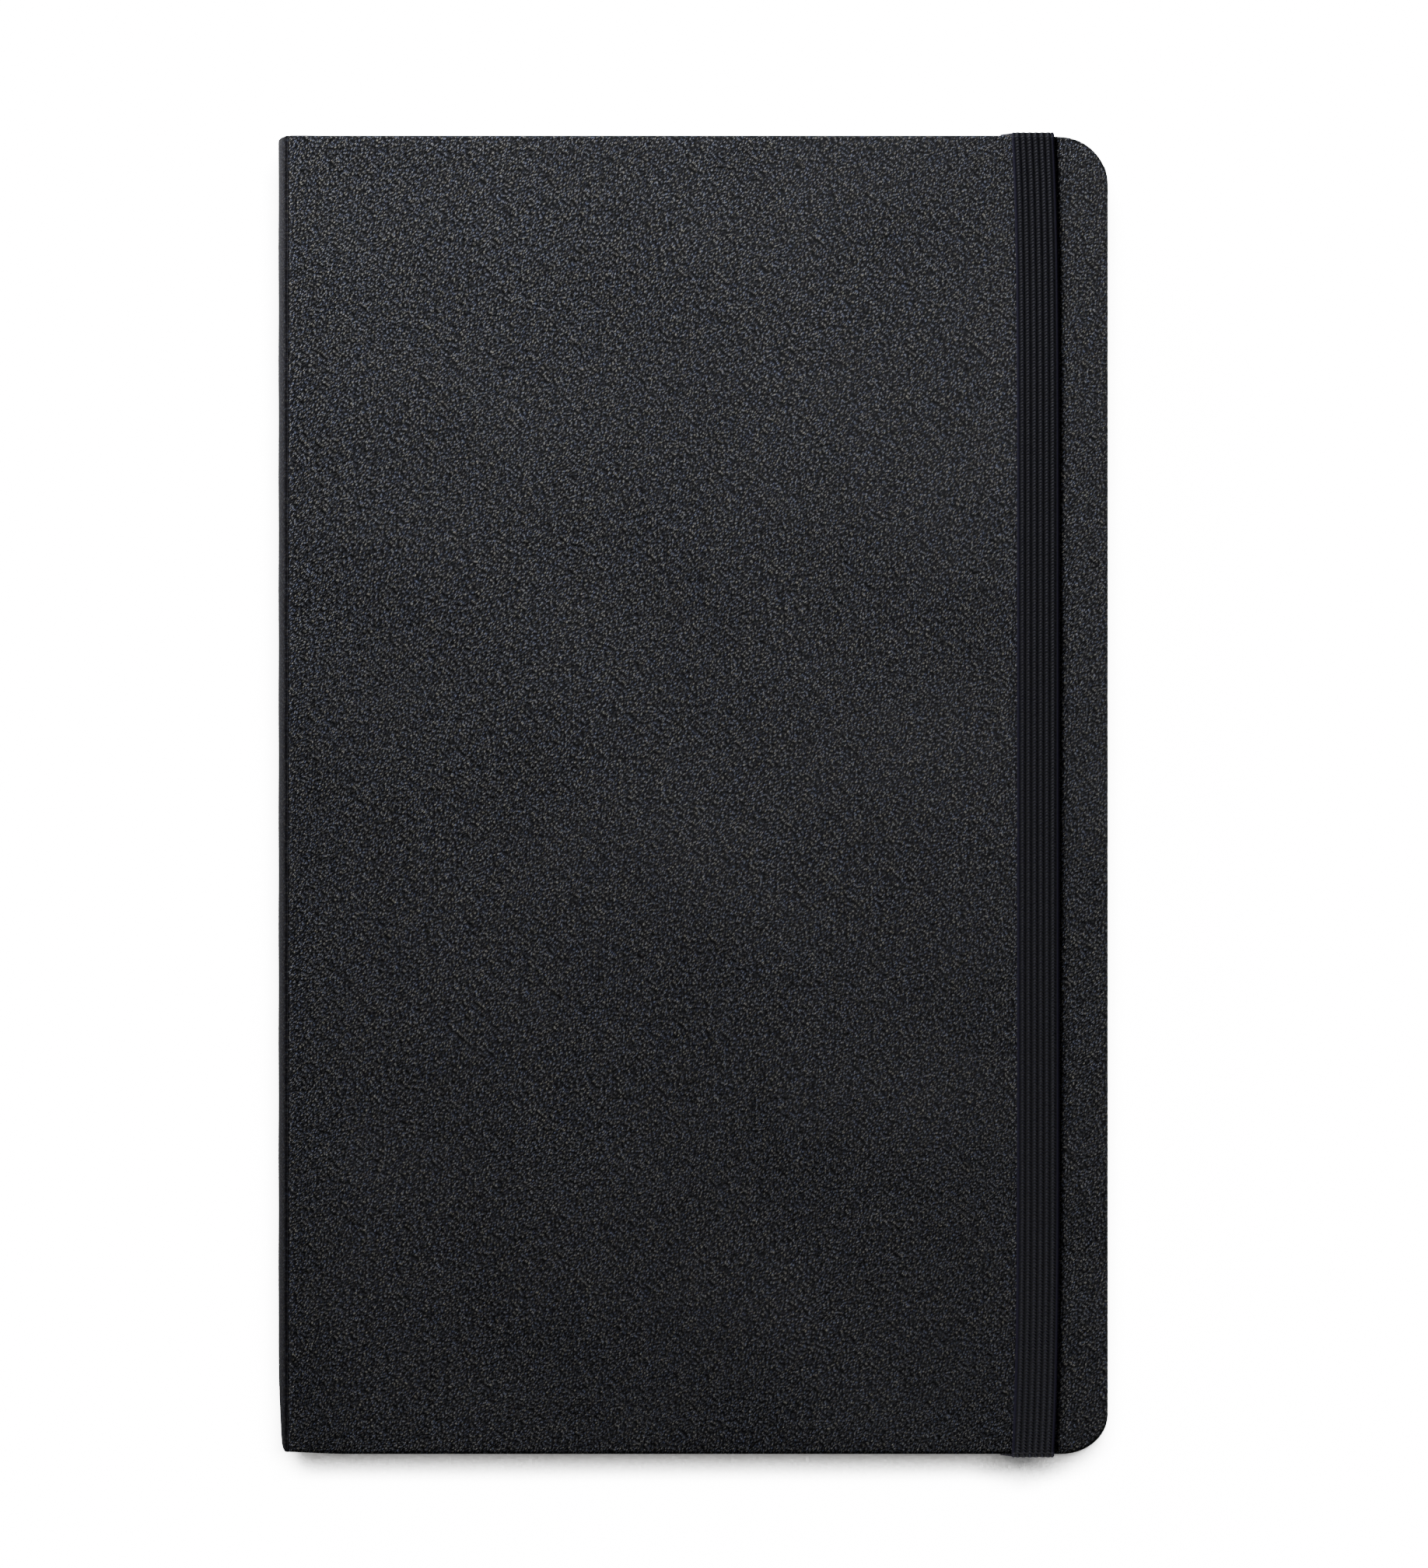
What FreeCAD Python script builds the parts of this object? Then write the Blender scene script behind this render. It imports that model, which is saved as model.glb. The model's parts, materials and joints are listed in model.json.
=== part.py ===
import FreeCAD, Part

import math
import os

import Sketcher

# A hardbound sketchbook lying on its back cover.
# +X runs to the fore edge, +Y to the head, +Z up through the front cover.
# The origin is under the middle of the book, on the outer face of the back cover.

SIZES = {
    # whole book
    "book_bottom": 0.0,
    "book_height": 210.0,
    "book_width": 132.2,
    "book_thickness": 14.4,
    "corner_radius": 7.5,
    # case: leather, board and lining of one cover, outside to inside
    "skin_thickness": 0.5,
    "board_thickness": 0.45,
    "turn_in_thickness": 0.25,
    "turn_in_width": 14.0,
    "edge_rounding": 0.35,
    "pastedown_thickness": 0.15,
    "pastedown_margin": 2.5,
    "joint_gap": 1.6,
    # rounded spine
    "spine_swell": 1.4,
    "spine_shoulder": 0.5,
    "spine_liner_thickness": 0.3,
    "mull_thickness": 0.18,
    "mull_height": 190.0,
    "spine_end_clearance": 1.75,
    # text block
    "page_margin": 1.5,
    "page_corner_radius": 6.5,
    "leaf_thickness": 0.15,
    "leaf_pitch": 0.16,
    "sheets_per_signature": 4.0,
    "signatures_per_half": 4.0,
    "text_block_bottom": 2.16,
    "centre_gap": 0.1,
    "fold_clearance": 0.02,
    "flyleaf_gap": 0.03,
    "flyleaf_setback": 2.4,
    # sewing
    "thread_radius": 0.1,
    "stitch_length": 7.0,
    "stitch_pitch": 42.0,
    "stitch_stations": 5.0,
    # expanding pocket on the back cover
    "pocket_gusset_thickness": 0.25,
    "pocket_panel_thickness": 0.3,
    "pocket_clearance": 0.02,
    "pocket_margin": 3.5,
    "pocket_mouth_setback": 14.0,
    "pocket_gusset_width": 9.0,
    "pocket_hinge_width": 9.0,
    # elastic closure
    "elastic_width": 6.8,
    "elastic_thickness": 0.45,
    "elastic_clearance": 0.07,
    "elastic_lift": 0.02,
    "elastic_edge_inset": 11.1,
    "elastic_slant": 2.6,
    "elastic_return_length": 13.0,
    "elastic_tab_length": 12.0,
    "elastic_channel_play": 0.1,
}

PARTS_FOLDER = "parts"
SHEET = "Sizes"

doc = FreeCAD.newDocument("sketchbook")
sheet = doc.addObject("Spreadsheet::Sheet", SHEET)
for row, (alias, value) in enumerate(SIZES.items(), start=1):
    sheet.set("A%d" % row, alias)
    sheet.set("B%d" % row, str(value))
    sheet.setAlias("B%d" % row, alias)
doc.recompute()


class Quantity:
    """A length kept together with the sheet formula it comes from."""

    def __init__(self, value, formula):
        self.value = value
        self.formula = formula

    def _with(self, other, sign, value):
        formula = other.formula if isinstance(other, Quantity) else repr(other)
        return Quantity(value, "(%s %s %s)" % (self.formula, sign, formula))

    def __add__(self, other):
        return self._with(other, "+", self.value + plain(other))

    def __sub__(self, other):
        return self._with(other, "-", self.value - plain(other))

    def __mul__(self, other):
        return self._with(other, "*", self.value * plain(other))

    def __truediv__(self, other):
        return self._with(other, "/", self.value / plain(other))

    def __neg__(self):
        return Quantity(-self.value, "(0 - %s)" % self.formula)

    def squared(self):
        return self * self

    def root(self):
        return Quantity(math.sqrt(self.value), "sqrt(%s)" % self.formula)


def plain(value):
    """The number held by a Quantity, or the number itself."""
    return value.value if isinstance(value, Quantity) else value


def size(alias):
    """One cell of the sheet."""
    return Quantity(SIZES[alias], "%s.%s" % (SHEET, alias))


# Lengths every piece is laid out from.
half_width = size("book_width") / 2
half_height = size("book_height") / 2
thickness = size("book_thickness")
middle = thickness / 2
spine_x = -half_width
case_thickness = size("skin_thickness") + size("board_thickness") + size("turn_in_thickness")
panel_x = spine_x + size("joint_gap")
shoulder_rise = middle - size("spine_shoulder")
spine_radius = (shoulder_rise.squared() + size("spine_swell").squared()) / (size("spine_swell") * 2)
spine_centre_x = spine_x + spine_radius
page_right = half_width - size("page_margin")
page_half_height = half_height - size("page_margin")
fold_radius = size("leaf_pitch") * size("sheets_per_signature")
signature_thickness = fold_radius * 2
half_block = signature_thickness * size("signatures_per_half")
split_bottom = size("text_block_bottom") + half_block
split_top = split_bottom + size("centre_gap")
block_top = split_top + half_block
split_middle = split_bottom + size("centre_gap") / 2
elastic_x = half_width - size("elastic_edge_inset")
elastic_half_width = size("elastic_width") / 2
book_bottom = size("book_bottom")
elastic_back_x = elastic_x - size("elastic_slant")
liner_outer_radius = spine_radius - size("skin_thickness")
mull_outer_radius = liner_outer_radius - size("spine_liner_thickness")
mull_inner_radius = mull_outer_radius - size("mull_thickness")


def new_body(node):
    """An empty solid that becomes one named piece of the book."""
    body = doc.addObject("PartDesign::Body", node)
    body.Label = node
    return body


def new_sketch(body, plane, offset=None):
    """A sketch on one of the body's own origin planes, moved along its normal."""
    sketch = body.newObject("Sketcher::SketchObject", body.Name + "_sketch")
    support = [feature for feature in body.Origin.OriginFeatures if feature.Role == plane][0]
    sketch.AttachmentSupport = [(support, "")]
    sketch.MapMode = "FlatFace"
    if offset is not None:
        sketch.AttachmentOffset = FreeCAD.Placement(
            FreeCAD.Vector(0, 0, offset.value), FreeCAD.Rotation())
        sketch.setExpression("AttachmentOffset.Base.z", offset.formula)
    return sketch


def fix(sketch, kind, *where, to):
    """Add a dimension to a sketch and tie it to the sheet."""
    index = sketch.addConstraint(Sketcher.Constraint(kind, *where, to.value))
    sketch.setExpression("Constraints[%d]" % index, to.formula)


def line(x_start, y_start, x_end, y_end):
    return Part.LineSegment(FreeCAD.Vector(x_start, y_start, 0), FreeCAD.Vector(x_end, y_end, 0))


def arc(x_centre, y_centre, radius, start_deg, end_deg):
    circle = Part.Circle(FreeCAD.Vector(x_centre, y_centre, 0), FreeCAD.Vector(0, 0, 1), radius)
    return Part.ArcOfCircle(circle, math.radians(start_deg), math.radians(end_deg))


START, END, CENTRE = 1, 2, 3
ORIGIN = (-1, 1)


def draw_rectangle(sketch, left, right, low, high):
    """A rectangle held by its four sides."""
    first = sketch.GeometryCount
    sketch.addGeometry([
        line(left.value, low.value, right.value, low.value),
        line(right.value, low.value, right.value, high.value),
        line(right.value, high.value, left.value, high.value),
        line(left.value, high.value, left.value, low.value),
    ])
    for side in range(4):
        sketch.addConstraint(Sketcher.Constraint(
            "Coincident", first + side, END, first + (side + 1) % 4, START))
        sketch.addConstraint(Sketcher.Constraint(
            "Vertical" if side % 2 else "Horizontal", first + side))
    fix(sketch, "DistanceX", *ORIGIN, first, START, to=left)
    fix(sketch, "DistanceY", *ORIGIN, first, START, to=low)
    fix(sketch, "DistanceX", *ORIGIN, first + 2, START, to=right)
    fix(sketch, "DistanceY", *ORIGIN, first + 2, START, to=high)


def draw_leaf_outline(sketch, left, right, half, radius):
    """Square at the spine side, round at both fore-edge corners."""
    first = sketch.GeometryCount
    l, r, h, c = left.value, right.value, half.value, radius.value
    sketch.addGeometry([
        line(l, -h, r - c, -h),
        arc(r - c, c - h, c, -90, 0),
        line(r, c - h, r, h - c),
        arc(r - c, h - c, c, 0, 90),
        line(r - c, h, l, h),
        line(l, h, l, -h),
    ])
    for side in range(6):
        following = first + (side + 1) % 6
        joint = "Coincident" if side >= 4 else "Tangent"
        sketch.addConstraint(Sketcher.Constraint(joint, first + side, END, following, START))
    sketch.addConstraint(Sketcher.Constraint("Horizontal", first))
    sketch.addConstraint(Sketcher.Constraint("Vertical", first + 2))
    sketch.addConstraint(Sketcher.Constraint("Vertical", first + 5))
    fix(sketch, "Radius", first + 1, to=radius)
    fix(sketch, "Radius", first + 3, to=radius)
    fix(sketch, "DistanceX", *ORIGIN, first, START, to=left)
    fix(sketch, "DistanceY", *ORIGIN, first, START, to=-half)
    fix(sketch, "DistanceX", *ORIGIN, first + 2, START, to=right)
    fix(sketch, "DistanceY", *ORIGIN, first + 4, END, to=half)


def pad(body, sketch, length, symmetric=False):
    feature = body.newObject("PartDesign::Pad", body.Name + "_pad")
    feature.Profile = sketch
    feature.Length = length.value
    feature.setExpression("Length", length.formula)
    if symmetric:
        feature.SideType = "Symmetric"
    sketch.Visibility = False
    return feature


def cut(body, sketch, depth):
    """Cut upwards from the sketch."""
    feature = body.newObject("PartDesign::Pocket", body.Name + "_cut")
    feature.Profile = sketch
    feature.Length = depth.value
    feature.setExpression("Length", depth.formula)
    feature.Reversed = True
    sketch.Visibility = False
    return feature


def leaf(node, left, right, half, radius, bottom, height):
    """One flat leaf of board, paper or cloth with two round corners."""
    body = new_body(node)
    sketch = new_sketch(body, "XY_Plane", bottom)
    draw_leaf_outline(sketch, left, right, half, radius)
    pad(body, sketch, height)
    return body


def strip(node, left, right, low, high, bottom, height):
    """One flat rectangular strip."""
    body = new_body(node)
    sketch = new_sketch(body, "XY_Plane", bottom)
    draw_rectangle(sketch, left, right, low, high)
    pad(body, sketch, height)
    return body


def outer_edges(feature, z, skip_x):
    """Edges round the outer face of a cover, without the one at the spine."""
    names = []
    for number, edge in enumerate(feature.Shape.Edges, start=1):
        box = edge.BoundBox
        on_face = abs(box.ZMin - z) < 1e-6 and abs(box.ZMax - z) < 1e-6
        if on_face and box.XMax > skip_x + 1e-6:
            names.append("Edge%d" % number)
    return names


def cover_skin(node, outer_z, inward):
    """Leather over one board: outer face, edges and the border turned in behind."""
    body = new_body(node)
    right, half, radius = half_width, half_height, size("corner_radius")
    wall = size("skin_thickness")
    border = size("turn_in_width")
    layers = (
        (size("skin_thickness"), None),
        (size("board_thickness"), wall),
        (size("turn_in_thickness"), border),
    )
    level = outer_z
    for height, inset in layers:
        base = level if inward > 0 else level - height
        sketch = new_sketch(body, "XY_Plane", base)
        draw_leaf_outline(sketch, panel_x, right, half, radius)
        if inset is not None:
            inner_left = panel_x + (wall if inset is wall else border / 2)
            inner_radius = radius - wall if inset is wall else size("page_margin")
            draw_leaf_outline(sketch, inner_left, right - inset, half - inset, inner_radius)
        feature = pad(body, sketch, height)
        level = level + height if inward > 0 else level - height
    doc.recompute()
    rounding = body.newObject("PartDesign::Fillet", node + "_edge")
    rounding.Base = (feature, outer_edges(feature, outer_z.value, panel_x.value))
    rounding.Radius = SIZES["edge_rounding"]
    rounding.setExpression("Radius", size("edge_rounding").formula)
    return body


def cover(side, outer_z, inward):
    """Leather, board, lining and pastedown of one cover."""
    wall, border = size("skin_thickness"), size("turn_in_width")
    bodies = {"skin": cover_skin(side + "_cover_skin", outer_z, inward)}
    level = outer_z + wall if inward > 0 else outer_z - wall
    board = size("board_thickness")
    base = level if inward > 0 else level - board
    bodies["board"] = leaf(side + "_cover_board", panel_x + wall, half_width - wall,
                           half_height - wall, size("corner_radius") - wall, base, board)
    level = level + board if inward > 0 else level - board
    lining = size("turn_in_thickness")
    base = level if inward > 0 else level - lining
    bodies["infill"] = leaf(side + "_cover_infill", panel_x + border / 2, half_width - border,
                            half_height - border, size("page_margin"), base, lining)
    level = level + lining if inward > 0 else level - lining
    paper = size("pastedown_thickness")
    base = level if inward > 0 else level - paper
    margin = size("pastedown_margin")
    bodies["pastedown"] = leaf(side + "_pastedown", panel_x + margin, half_width - margin,
                               half_height - margin, size("page_corner_radius") - margin / 2,
                               base, paper)
    return bodies


def cut_slot(body, left, right, low, high, bottom, depth):
    """A rectangular slot cut into a cover piece."""
    sketch = new_sketch(body, "XY_Plane", bottom)
    draw_rectangle(sketch, left, right, low, high)
    cut(body, sketch, depth)


def spine_strip(node, outer_radius, inner_radius, height, split_z, end_x, end_z, upward):
    """Half of one curved spine layer, from the middle of the book to its shoulder.

    The shoulder is cut off square at end_x so that the cover can fold past it.
    """
    body = new_body(node)
    sketch = new_sketch(body, "XZ_Plane")
    x_c, z_c = spine_centre_x.value, middle.value
    sign = 1 if upward else -1

    def on_arc(radius, z):
        return x_c - math.sqrt(radius ** 2 - (z - z_c) ** 2), z

    def outline_at(radius):
        """Where this arc stops: at the shoulder height or where it meets end_x."""
        x, z = on_arc(radius, end_z.value)
        if x > end_x.value:
            z = z_c + sign * math.sqrt(radius ** 2 - (x_c - end_x.value) ** 2)
            x = end_x.value
        return x, z

    outer_start, inner_start = on_arc(outer_radius.value, split_z.value), on_arc(
        inner_radius.value, split_z.value)
    outer_end, inner_end = outline_at(outer_radius.value), outline_at(inner_radius.value)

    def arc_between(first, last, radius):
        angles = sorted(math.degrees(math.atan2(z - z_c, x - x_c)) % 360 for x, z in (first, last))
        return arc(x_c, z_c, radius, *angles)

    sketch.addGeometry([
        arc_between(outer_start, outer_end, outer_radius.value),
        arc_between(inner_start, inner_end, inner_radius.value),
        line(*outer_start, *inner_start),
        line(*outer_end, *inner_end),
    ])
    near, far = (END, START) if upward else (START, END)
    sketch.addConstraint(Sketcher.Constraint("Coincident", 0, near, 2, START))
    sketch.addConstraint(Sketcher.Constraint("Coincident", 1, near, 2, END))
    sketch.addConstraint(Sketcher.Constraint("Coincident", 0, far, 3, START))
    sketch.addConstraint(Sketcher.Constraint("Coincident", 1, far, 3, END))
    sketch.addConstraint(Sketcher.Constraint("Coincident", 0, CENTRE, 1, CENTRE))
    fix(sketch, "DistanceX", *ORIGIN, 0, CENTRE, to=spine_centre_x)
    fix(sketch, "DistanceY", *ORIGIN, 0, CENTRE, to=middle)
    fix(sketch, "Radius", 0, to=outer_radius)
    fix(sketch, "Radius", 1, to=inner_radius)
    fix(sketch, "DistanceY", *ORIGIN, 2, START, to=split_z)
    sketch.addConstraint(Sketcher.Constraint("Horizontal", 2))
    pad(body, sketch, height, symmetric=True)
    return body


def signature(node, centre_z):
    """Folded sheets nested one inside the other, trimmed to the page outline."""
    reach = mull_inner_radius - fold_radius - size("fold_clearance")
    fold_x = spine_centre_x - (reach.squared() - (centre_z - middle).squared()).root()
    sketch = doc.addObject("Sketcher::SketchObject", node + "_folds")
    sketch.Placement = FreeCAD.Placement(
        FreeCAD.Vector(0, 0, 0), FreeCAD.Rotation(FreeCAD.Vector(1, 0, 0), 90))
    right = page_right + size("page_margin")
    for number in range(int(SIZES["sheets_per_signature"])):
        outer = fold_radius - size("leaf_pitch") * number
        inner = outer - size("leaf_thickness")
        first = sketch.GeometryCount
        x, z, r = fold_x.value, centre_z.value, right.value
        a, b = outer.value, inner.value
        sketch.addGeometry([
            arc(x, z, a, 90, 270),
            line(x, z - a, r, z - a),
            line(r, z - a, r, z - b),
            line(r, z - b, x, z - b),
            arc(x, z, b, 90, 270),
            line(x, z + b, r, z + b),
            line(r, z + b, r, z + a),
            line(r, z + a, x, z + a),
        ])
        ends = ((0, END, 1, START), (1, END, 2, START), (2, END, 3, START), (3, END, 4, END),
                (4, START, 5, START), (5, END, 6, START), (6, END, 7, START), (7, END, 0, START))
        for one, one_end, other, other_end in ends:
            sketch.addConstraint(Sketcher.Constraint(
                "Coincident", first + one, one_end, first + other, other_end))
        for side in (1, 3, 5, 7):
            sketch.addConstraint(Sketcher.Constraint("Horizontal", first + side))
        fix(sketch, "Radius", first, to=outer)
        fix(sketch, "Radius", first + 4, to=inner)
        fix(sketch, "DistanceX", *ORIGIN, first, CENTRE, to=fold_x)
        fix(sketch, "DistanceY", *ORIGIN, first, CENTRE, to=centre_z)
        sketch.addConstraint(Sketcher.Constraint(
            "Coincident", first, CENTRE, first + 4, CENTRE))
    folds = doc.addObject("Part::Extrusion", node + "_sheets")
    folds.Base = sketch
    folds.Dir = (0, 1, 0)
    folds.DirMode = "Custom"
    folds.LengthFwd = (page_half_height * 2).value
    folds.setExpression("LengthFwd", (page_half_height * 2).formula)
    folds.Solid = True
    folds.Symmetric = True
    trimmed = doc.addObject("Part::Common", node)
    trimmed.Label = node
    trimmed.Base = folds
    trimmed.Tool = page_prism
    return trimmed, fold_x


def stitches(node, grooves):
    """Short threads lying between the folds of neighbouring signatures."""
    pieces = []
    count = int(SIZES["stitch_stations"])
    for x, z in grooves:
        for station in range(count):
            y = size("stitch_pitch") * (station - (count - 1) / 2) - size("stitch_length") / 2
            thread = doc.addObject("Part::Cylinder", node + "_stitch")
            thread.setExpression("Radius", size("thread_radius").formula)
            thread.setExpression("Height", size("stitch_length").formula)
            thread.Placement = FreeCAD.Placement(
                FreeCAD.Vector(x.value, y.value, z.value),
                FreeCAD.Rotation(FreeCAD.Vector(1, 0, 0), -90))
            for axis, place in (("x", x), ("y", y), ("z", z)):
                thread.setExpression("Placement.Base." + axis, place.formula)
            pieces.append(thread)
    group = doc.addObject("Part::Compound", node)
    group.Label = node
    group.Links = pieces
    return group


def elastic_piece(node, draw, middle_x):
    """A length of the flat elastic, cut from its side view."""
    body = new_body(node)
    sketch = new_sketch(body, "YZ_Plane", middle_x)
    draw(sketch)
    pad(body, sketch, size("elastic_width"), symmetric=True)
    return body


def draw_wrap(sketch, side):
    """The elastic going round the head (+1) or tail (-1) edges of both covers."""
    inner_r = size("elastic_clearance")
    outer_r = inner_r + size("elastic_thickness")
    low = outer_r + size("elastic_lift")
    high = thickness + size("elastic_lift") - inner_r
    edge = half_height * side
    e, a, b, z_low, z_high = edge.value, outer_r.value, inner_r.value, low.value, high.value
    if side > 0:
        spans = ((-90, 0), (0, 90))
        low_free, low_up, high_low, high_free = START, END, START, END
    else:
        spans = ((180, 270), (90, 180))
        low_free, low_up, high_low, high_free = END, START, END, START
    low_span, high_span = spans
    arcs = [arc(e, z_low, a, *low_span), arc(e, z_high, a, *high_span),
            arc(e, z_high, b, *high_span), arc(e, z_low, b, *low_span)]
    far = e + side * a
    close = e + side * b
    sketch.addGeometry(arcs + [
        line(far, z_low, far, z_high),
        line(e, z_high + a, e, z_high + b),
        line(close, z_high, close, z_low),
        line(e, z_low - b, e, z_low - a),
    ])
    joins = ((0, low_up, 4, START), (4, END, 1, high_low), (1, high_free, 5, START),
             (5, END, 2, high_free), (2, high_low, 6, START), (6, END, 3, low_up),
             (3, low_free, 7, START), (7, END, 0, low_free))
    for one, one_end, other, other_end in joins:
        kind = "Tangent" if 4 in (one, other) or 6 in (one, other) else "Coincident"
        sketch.addConstraint(Sketcher.Constraint(kind, one, one_end, other, other_end))
    for curve, radius in ((0, outer_r), (1, outer_r), (2, inner_r), (3, inner_r)):
        fix(sketch, "Radius", curve, to=radius)
    for curve, level in ((0, low), (1, high)):
        fix(sketch, "DistanceX", *ORIGIN, curve, CENTRE, to=edge)
        fix(sketch, "DistanceY", *ORIGIN, curve, CENTRE, to=level)
    sketch.addConstraint(Sketcher.Constraint("Coincident", 0, CENTRE, 3, CENTRE))
    sketch.addConstraint(Sketcher.Constraint("Coincident", 1, CENTRE, 2, CENTRE))


def draw_return(sketch, side):
    """The elastic on the back of the book, through its slit and glued inside."""
    low = size("elastic_lift")
    band = size("elastic_thickness")
    edge = half_height * side
    slit = edge - size("elastic_return_length") * side
    through = slit + band * side
    tab_end = slit - size("elastic_tab_length") * side
    tab_top = case_thickness - size("elastic_lift")
    corners = (
        (edge, low), (slit, low), (slit, tab_top - band), (tab_end, tab_top - band),
        (tab_end, tab_top), (through, tab_top), (through, low + band), (edge, low + band),
    )
    count = len(corners)
    sketch.addGeometry([
        line(y.value, z.value, corners[(n + 1) % count][0].value, corners[(n + 1) % count][1].value)
        for n, (y, z) in enumerate(corners)
    ])
    for n, (y, z) in enumerate(corners):
        sketch.addConstraint(Sketcher.Constraint("Coincident", n, END, (n + 1) % count, START))
        fix(sketch, "DistanceX", *ORIGIN, n, START, to=y)
        fix(sketch, "DistanceY", *ORIGIN, n, START, to=z)


pieces = []

# Both covers, outer face first.
front = cover("front", thickness, -1)
back = cover("back", book_bottom, 1)

# The elastic leans toward the spine on its way round, lies in a channel in the back cover
# and passes through a slit.
play = size("elastic_channel_play")
channel_left = elastic_back_x - elastic_half_width - play
channel_right = elastic_back_x + elastic_half_width + play
channel_depth = size("elastic_thickness") + size("elastic_lift")
for side in (1, -1):
    outer = half_height * side + play * side
    slit = half_height * side - size("elastic_return_length") * side
    slit_inner = slit - play * side
    slit_outer = slit + (size("elastic_thickness") + play) * side
    tab_end = slit - (size("elastic_tab_length") + play) * side
    low, high = (slit_inner, outer) if side > 0 else (outer, slit_inner)
    cut_slot(back["skin"], channel_left, channel_right, low, high,
             book_bottom, channel_depth)
    low, high = (slit_inner, slit_outer) if side > 0 else (slit_outer, slit_inner)
    for piece in ("skin", "board", "infill"):
        cut_slot(back[piece], channel_left, channel_right, low, high,
                 book_bottom, case_thickness)
    low, high = (tab_end, slit_outer) if side > 0 else (slit_outer, tab_end)
    tab_bottom = case_thickness - size("elastic_thickness") - size("elastic_lift") * 2
    for piece in ("skin", "board", "infill"):
        cut_slot(back[piece], channel_left, channel_right, low, high,
                 tab_bottom, size("elastic_thickness") * 2)
pieces += list(front.values()) + list(back.values())

# Spine: leather outside, stiff liner, then the open-weave cloth glued to the folds.
shoulder_x = spine_x + size("spine_swell")
for half, split_z, upward in (("front", split_top, True), ("rear", split_bottom, False)):
    skin_end = thickness - size("spine_shoulder") if upward else size("spine_shoulder")
    inner_end = (thickness - size("spine_end_clearance") if upward
                 else size("spine_end_clearance"))
    layers = (
        ("spine_skin_", spine_radius, liner_outer_radius, half_height * 2, skin_end),
        ("spine_liner_", liner_outer_radius, mull_outer_radius, page_half_height * 2, inner_end),
        ("spine_mull_", mull_outer_radius, mull_inner_radius, size("mull_height"), inner_end),
    )
    for name, outer_radius, inner_radius, height, end_z in layers:
        pieces.append(spine_strip(name + half, outer_radius, inner_radius, height, split_z,
                                  shoulder_x, end_z, upward))

# Page outline used to trim every signature.
page_sketch = doc.addObject("Sketcher::SketchObject", "page_outline")
draw_leaf_outline(page_sketch, spine_x, page_right, page_half_height, size("page_corner_radius"))
page_prism = doc.addObject("Part::Extrusion", "page_prism")
page_prism.Base = page_sketch
page_prism.Dir = (0, 0, 1)
page_prism.DirMode = "Custom"
page_prism.LengthFwd = thickness.value
page_prism.setExpression("LengthFwd", thickness.formula)
page_prism.Solid = True

# Signatures, numbered from the front of the book.
halves = (("front", 0, split_top), ("rear", int(SIZES["signatures_per_half"]), size("text_block_bottom")))
for half, numbered_after, bottom in halves:
    count = int(SIZES["signatures_per_half"])
    placed = []
    for step in range(count):
        centre_z = bottom + signature_thickness * step + fold_radius
        number = numbered_after + count - step
        solid, fold_x = signature("signature_%d" % number, centre_z)
        pieces.append(solid)
        placed.append((fold_x, centre_z))
    grooves = []
    for (x_one, z_one), (x_two, z_two) in zip(placed, placed[1:]):
        leftmost = x_one if x_one.value < x_two.value else x_two
        reach = fold_radius + size("thread_radius") + size("fold_clearance")
        inset = (reach.squared() - fold_radius.squared()).root()
        grooves.append((leftmost - inset, (z_one + z_two) / 2))
    pieces.append(stitches("sewing_thread_" + half, grooves))

# Flyleaves next to the covers.
flyleaf_x = spine_x + size("flyleaf_setback")
pieces.append(leaf("front_flyleaf", flyleaf_x, page_right, page_half_height,
                   size("page_corner_radius"), block_top + size("flyleaf_gap"),
                   size("leaf_thickness")))
pieces.append(leaf("back_flyleaf", flyleaf_x, page_right, page_half_height,
                   size("page_corner_radius"),
                   size("text_block_bottom") - size("flyleaf_gap") - size("leaf_thickness"),
                   size("leaf_thickness")))

# Expanding pocket on the inside of the back cover, open towards the spine.
pocket_floor = case_thickness + size("pastedown_thickness")
pocket_left = spine_x + size("pocket_mouth_setback")
pocket_right = half_width - size("pocket_margin")
pocket_half = half_height - size("pocket_margin")
hinge_left = pocket_right - size("pocket_hinge_width")
pieces.append(strip("pocket_hinge_strip", hinge_left, pocket_right - size("corner_radius") / 2,
                    -pocket_half + size("corner_radius"), pocket_half - size("corner_radius"),
                    pocket_floor, size("pocket_gusset_thickness")))
gusset_right = hinge_left - size("pocket_clearance")
gusset_inner = pocket_half - size("pocket_gusset_width")
pieces.append(strip("pocket_gusset_head", pocket_left, gusset_right, gusset_inner, pocket_half,
                    pocket_floor, size("pocket_gusset_thickness")))
pieces.append(strip("pocket_gusset_tail", pocket_left, gusset_right, -pocket_half, -gusset_inner,
                    pocket_floor, size("pocket_gusset_thickness")))
pieces.append(leaf("pocket_panel", pocket_left, pocket_right, pocket_half,
                   size("page_corner_radius") - size("page_margin"),
                   pocket_floor + size("pocket_gusset_thickness") + size("pocket_clearance"),
                   size("pocket_panel_thickness")))

# Elastic closure: front run, a wrap round each end and the fixed ends in the back cover.
pieces.append(strip("elastic_front_run", elastic_x - elastic_half_width,
                    elastic_x + elastic_half_width, -half_height, half_height,
                    thickness + size("elastic_lift"), size("elastic_thickness")))
for place, side in (("head", 1), ("tail", -1)):
    pieces.append(elastic_piece("elastic_%s_wrap" % place, lambda s: draw_wrap(s, side), elastic_x))
    pieces.append(elastic_piece("elastic_%s_return" % place, lambda s: draw_return(s, side),
                                elastic_back_x))

doc.recompute()

for item in doc.Objects:
    faults = [state for state in item.State if state in ("Invalid", "Error")]
    if faults:
        raise RuntimeError("%s is %s" % (item.Label, faults))

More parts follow.
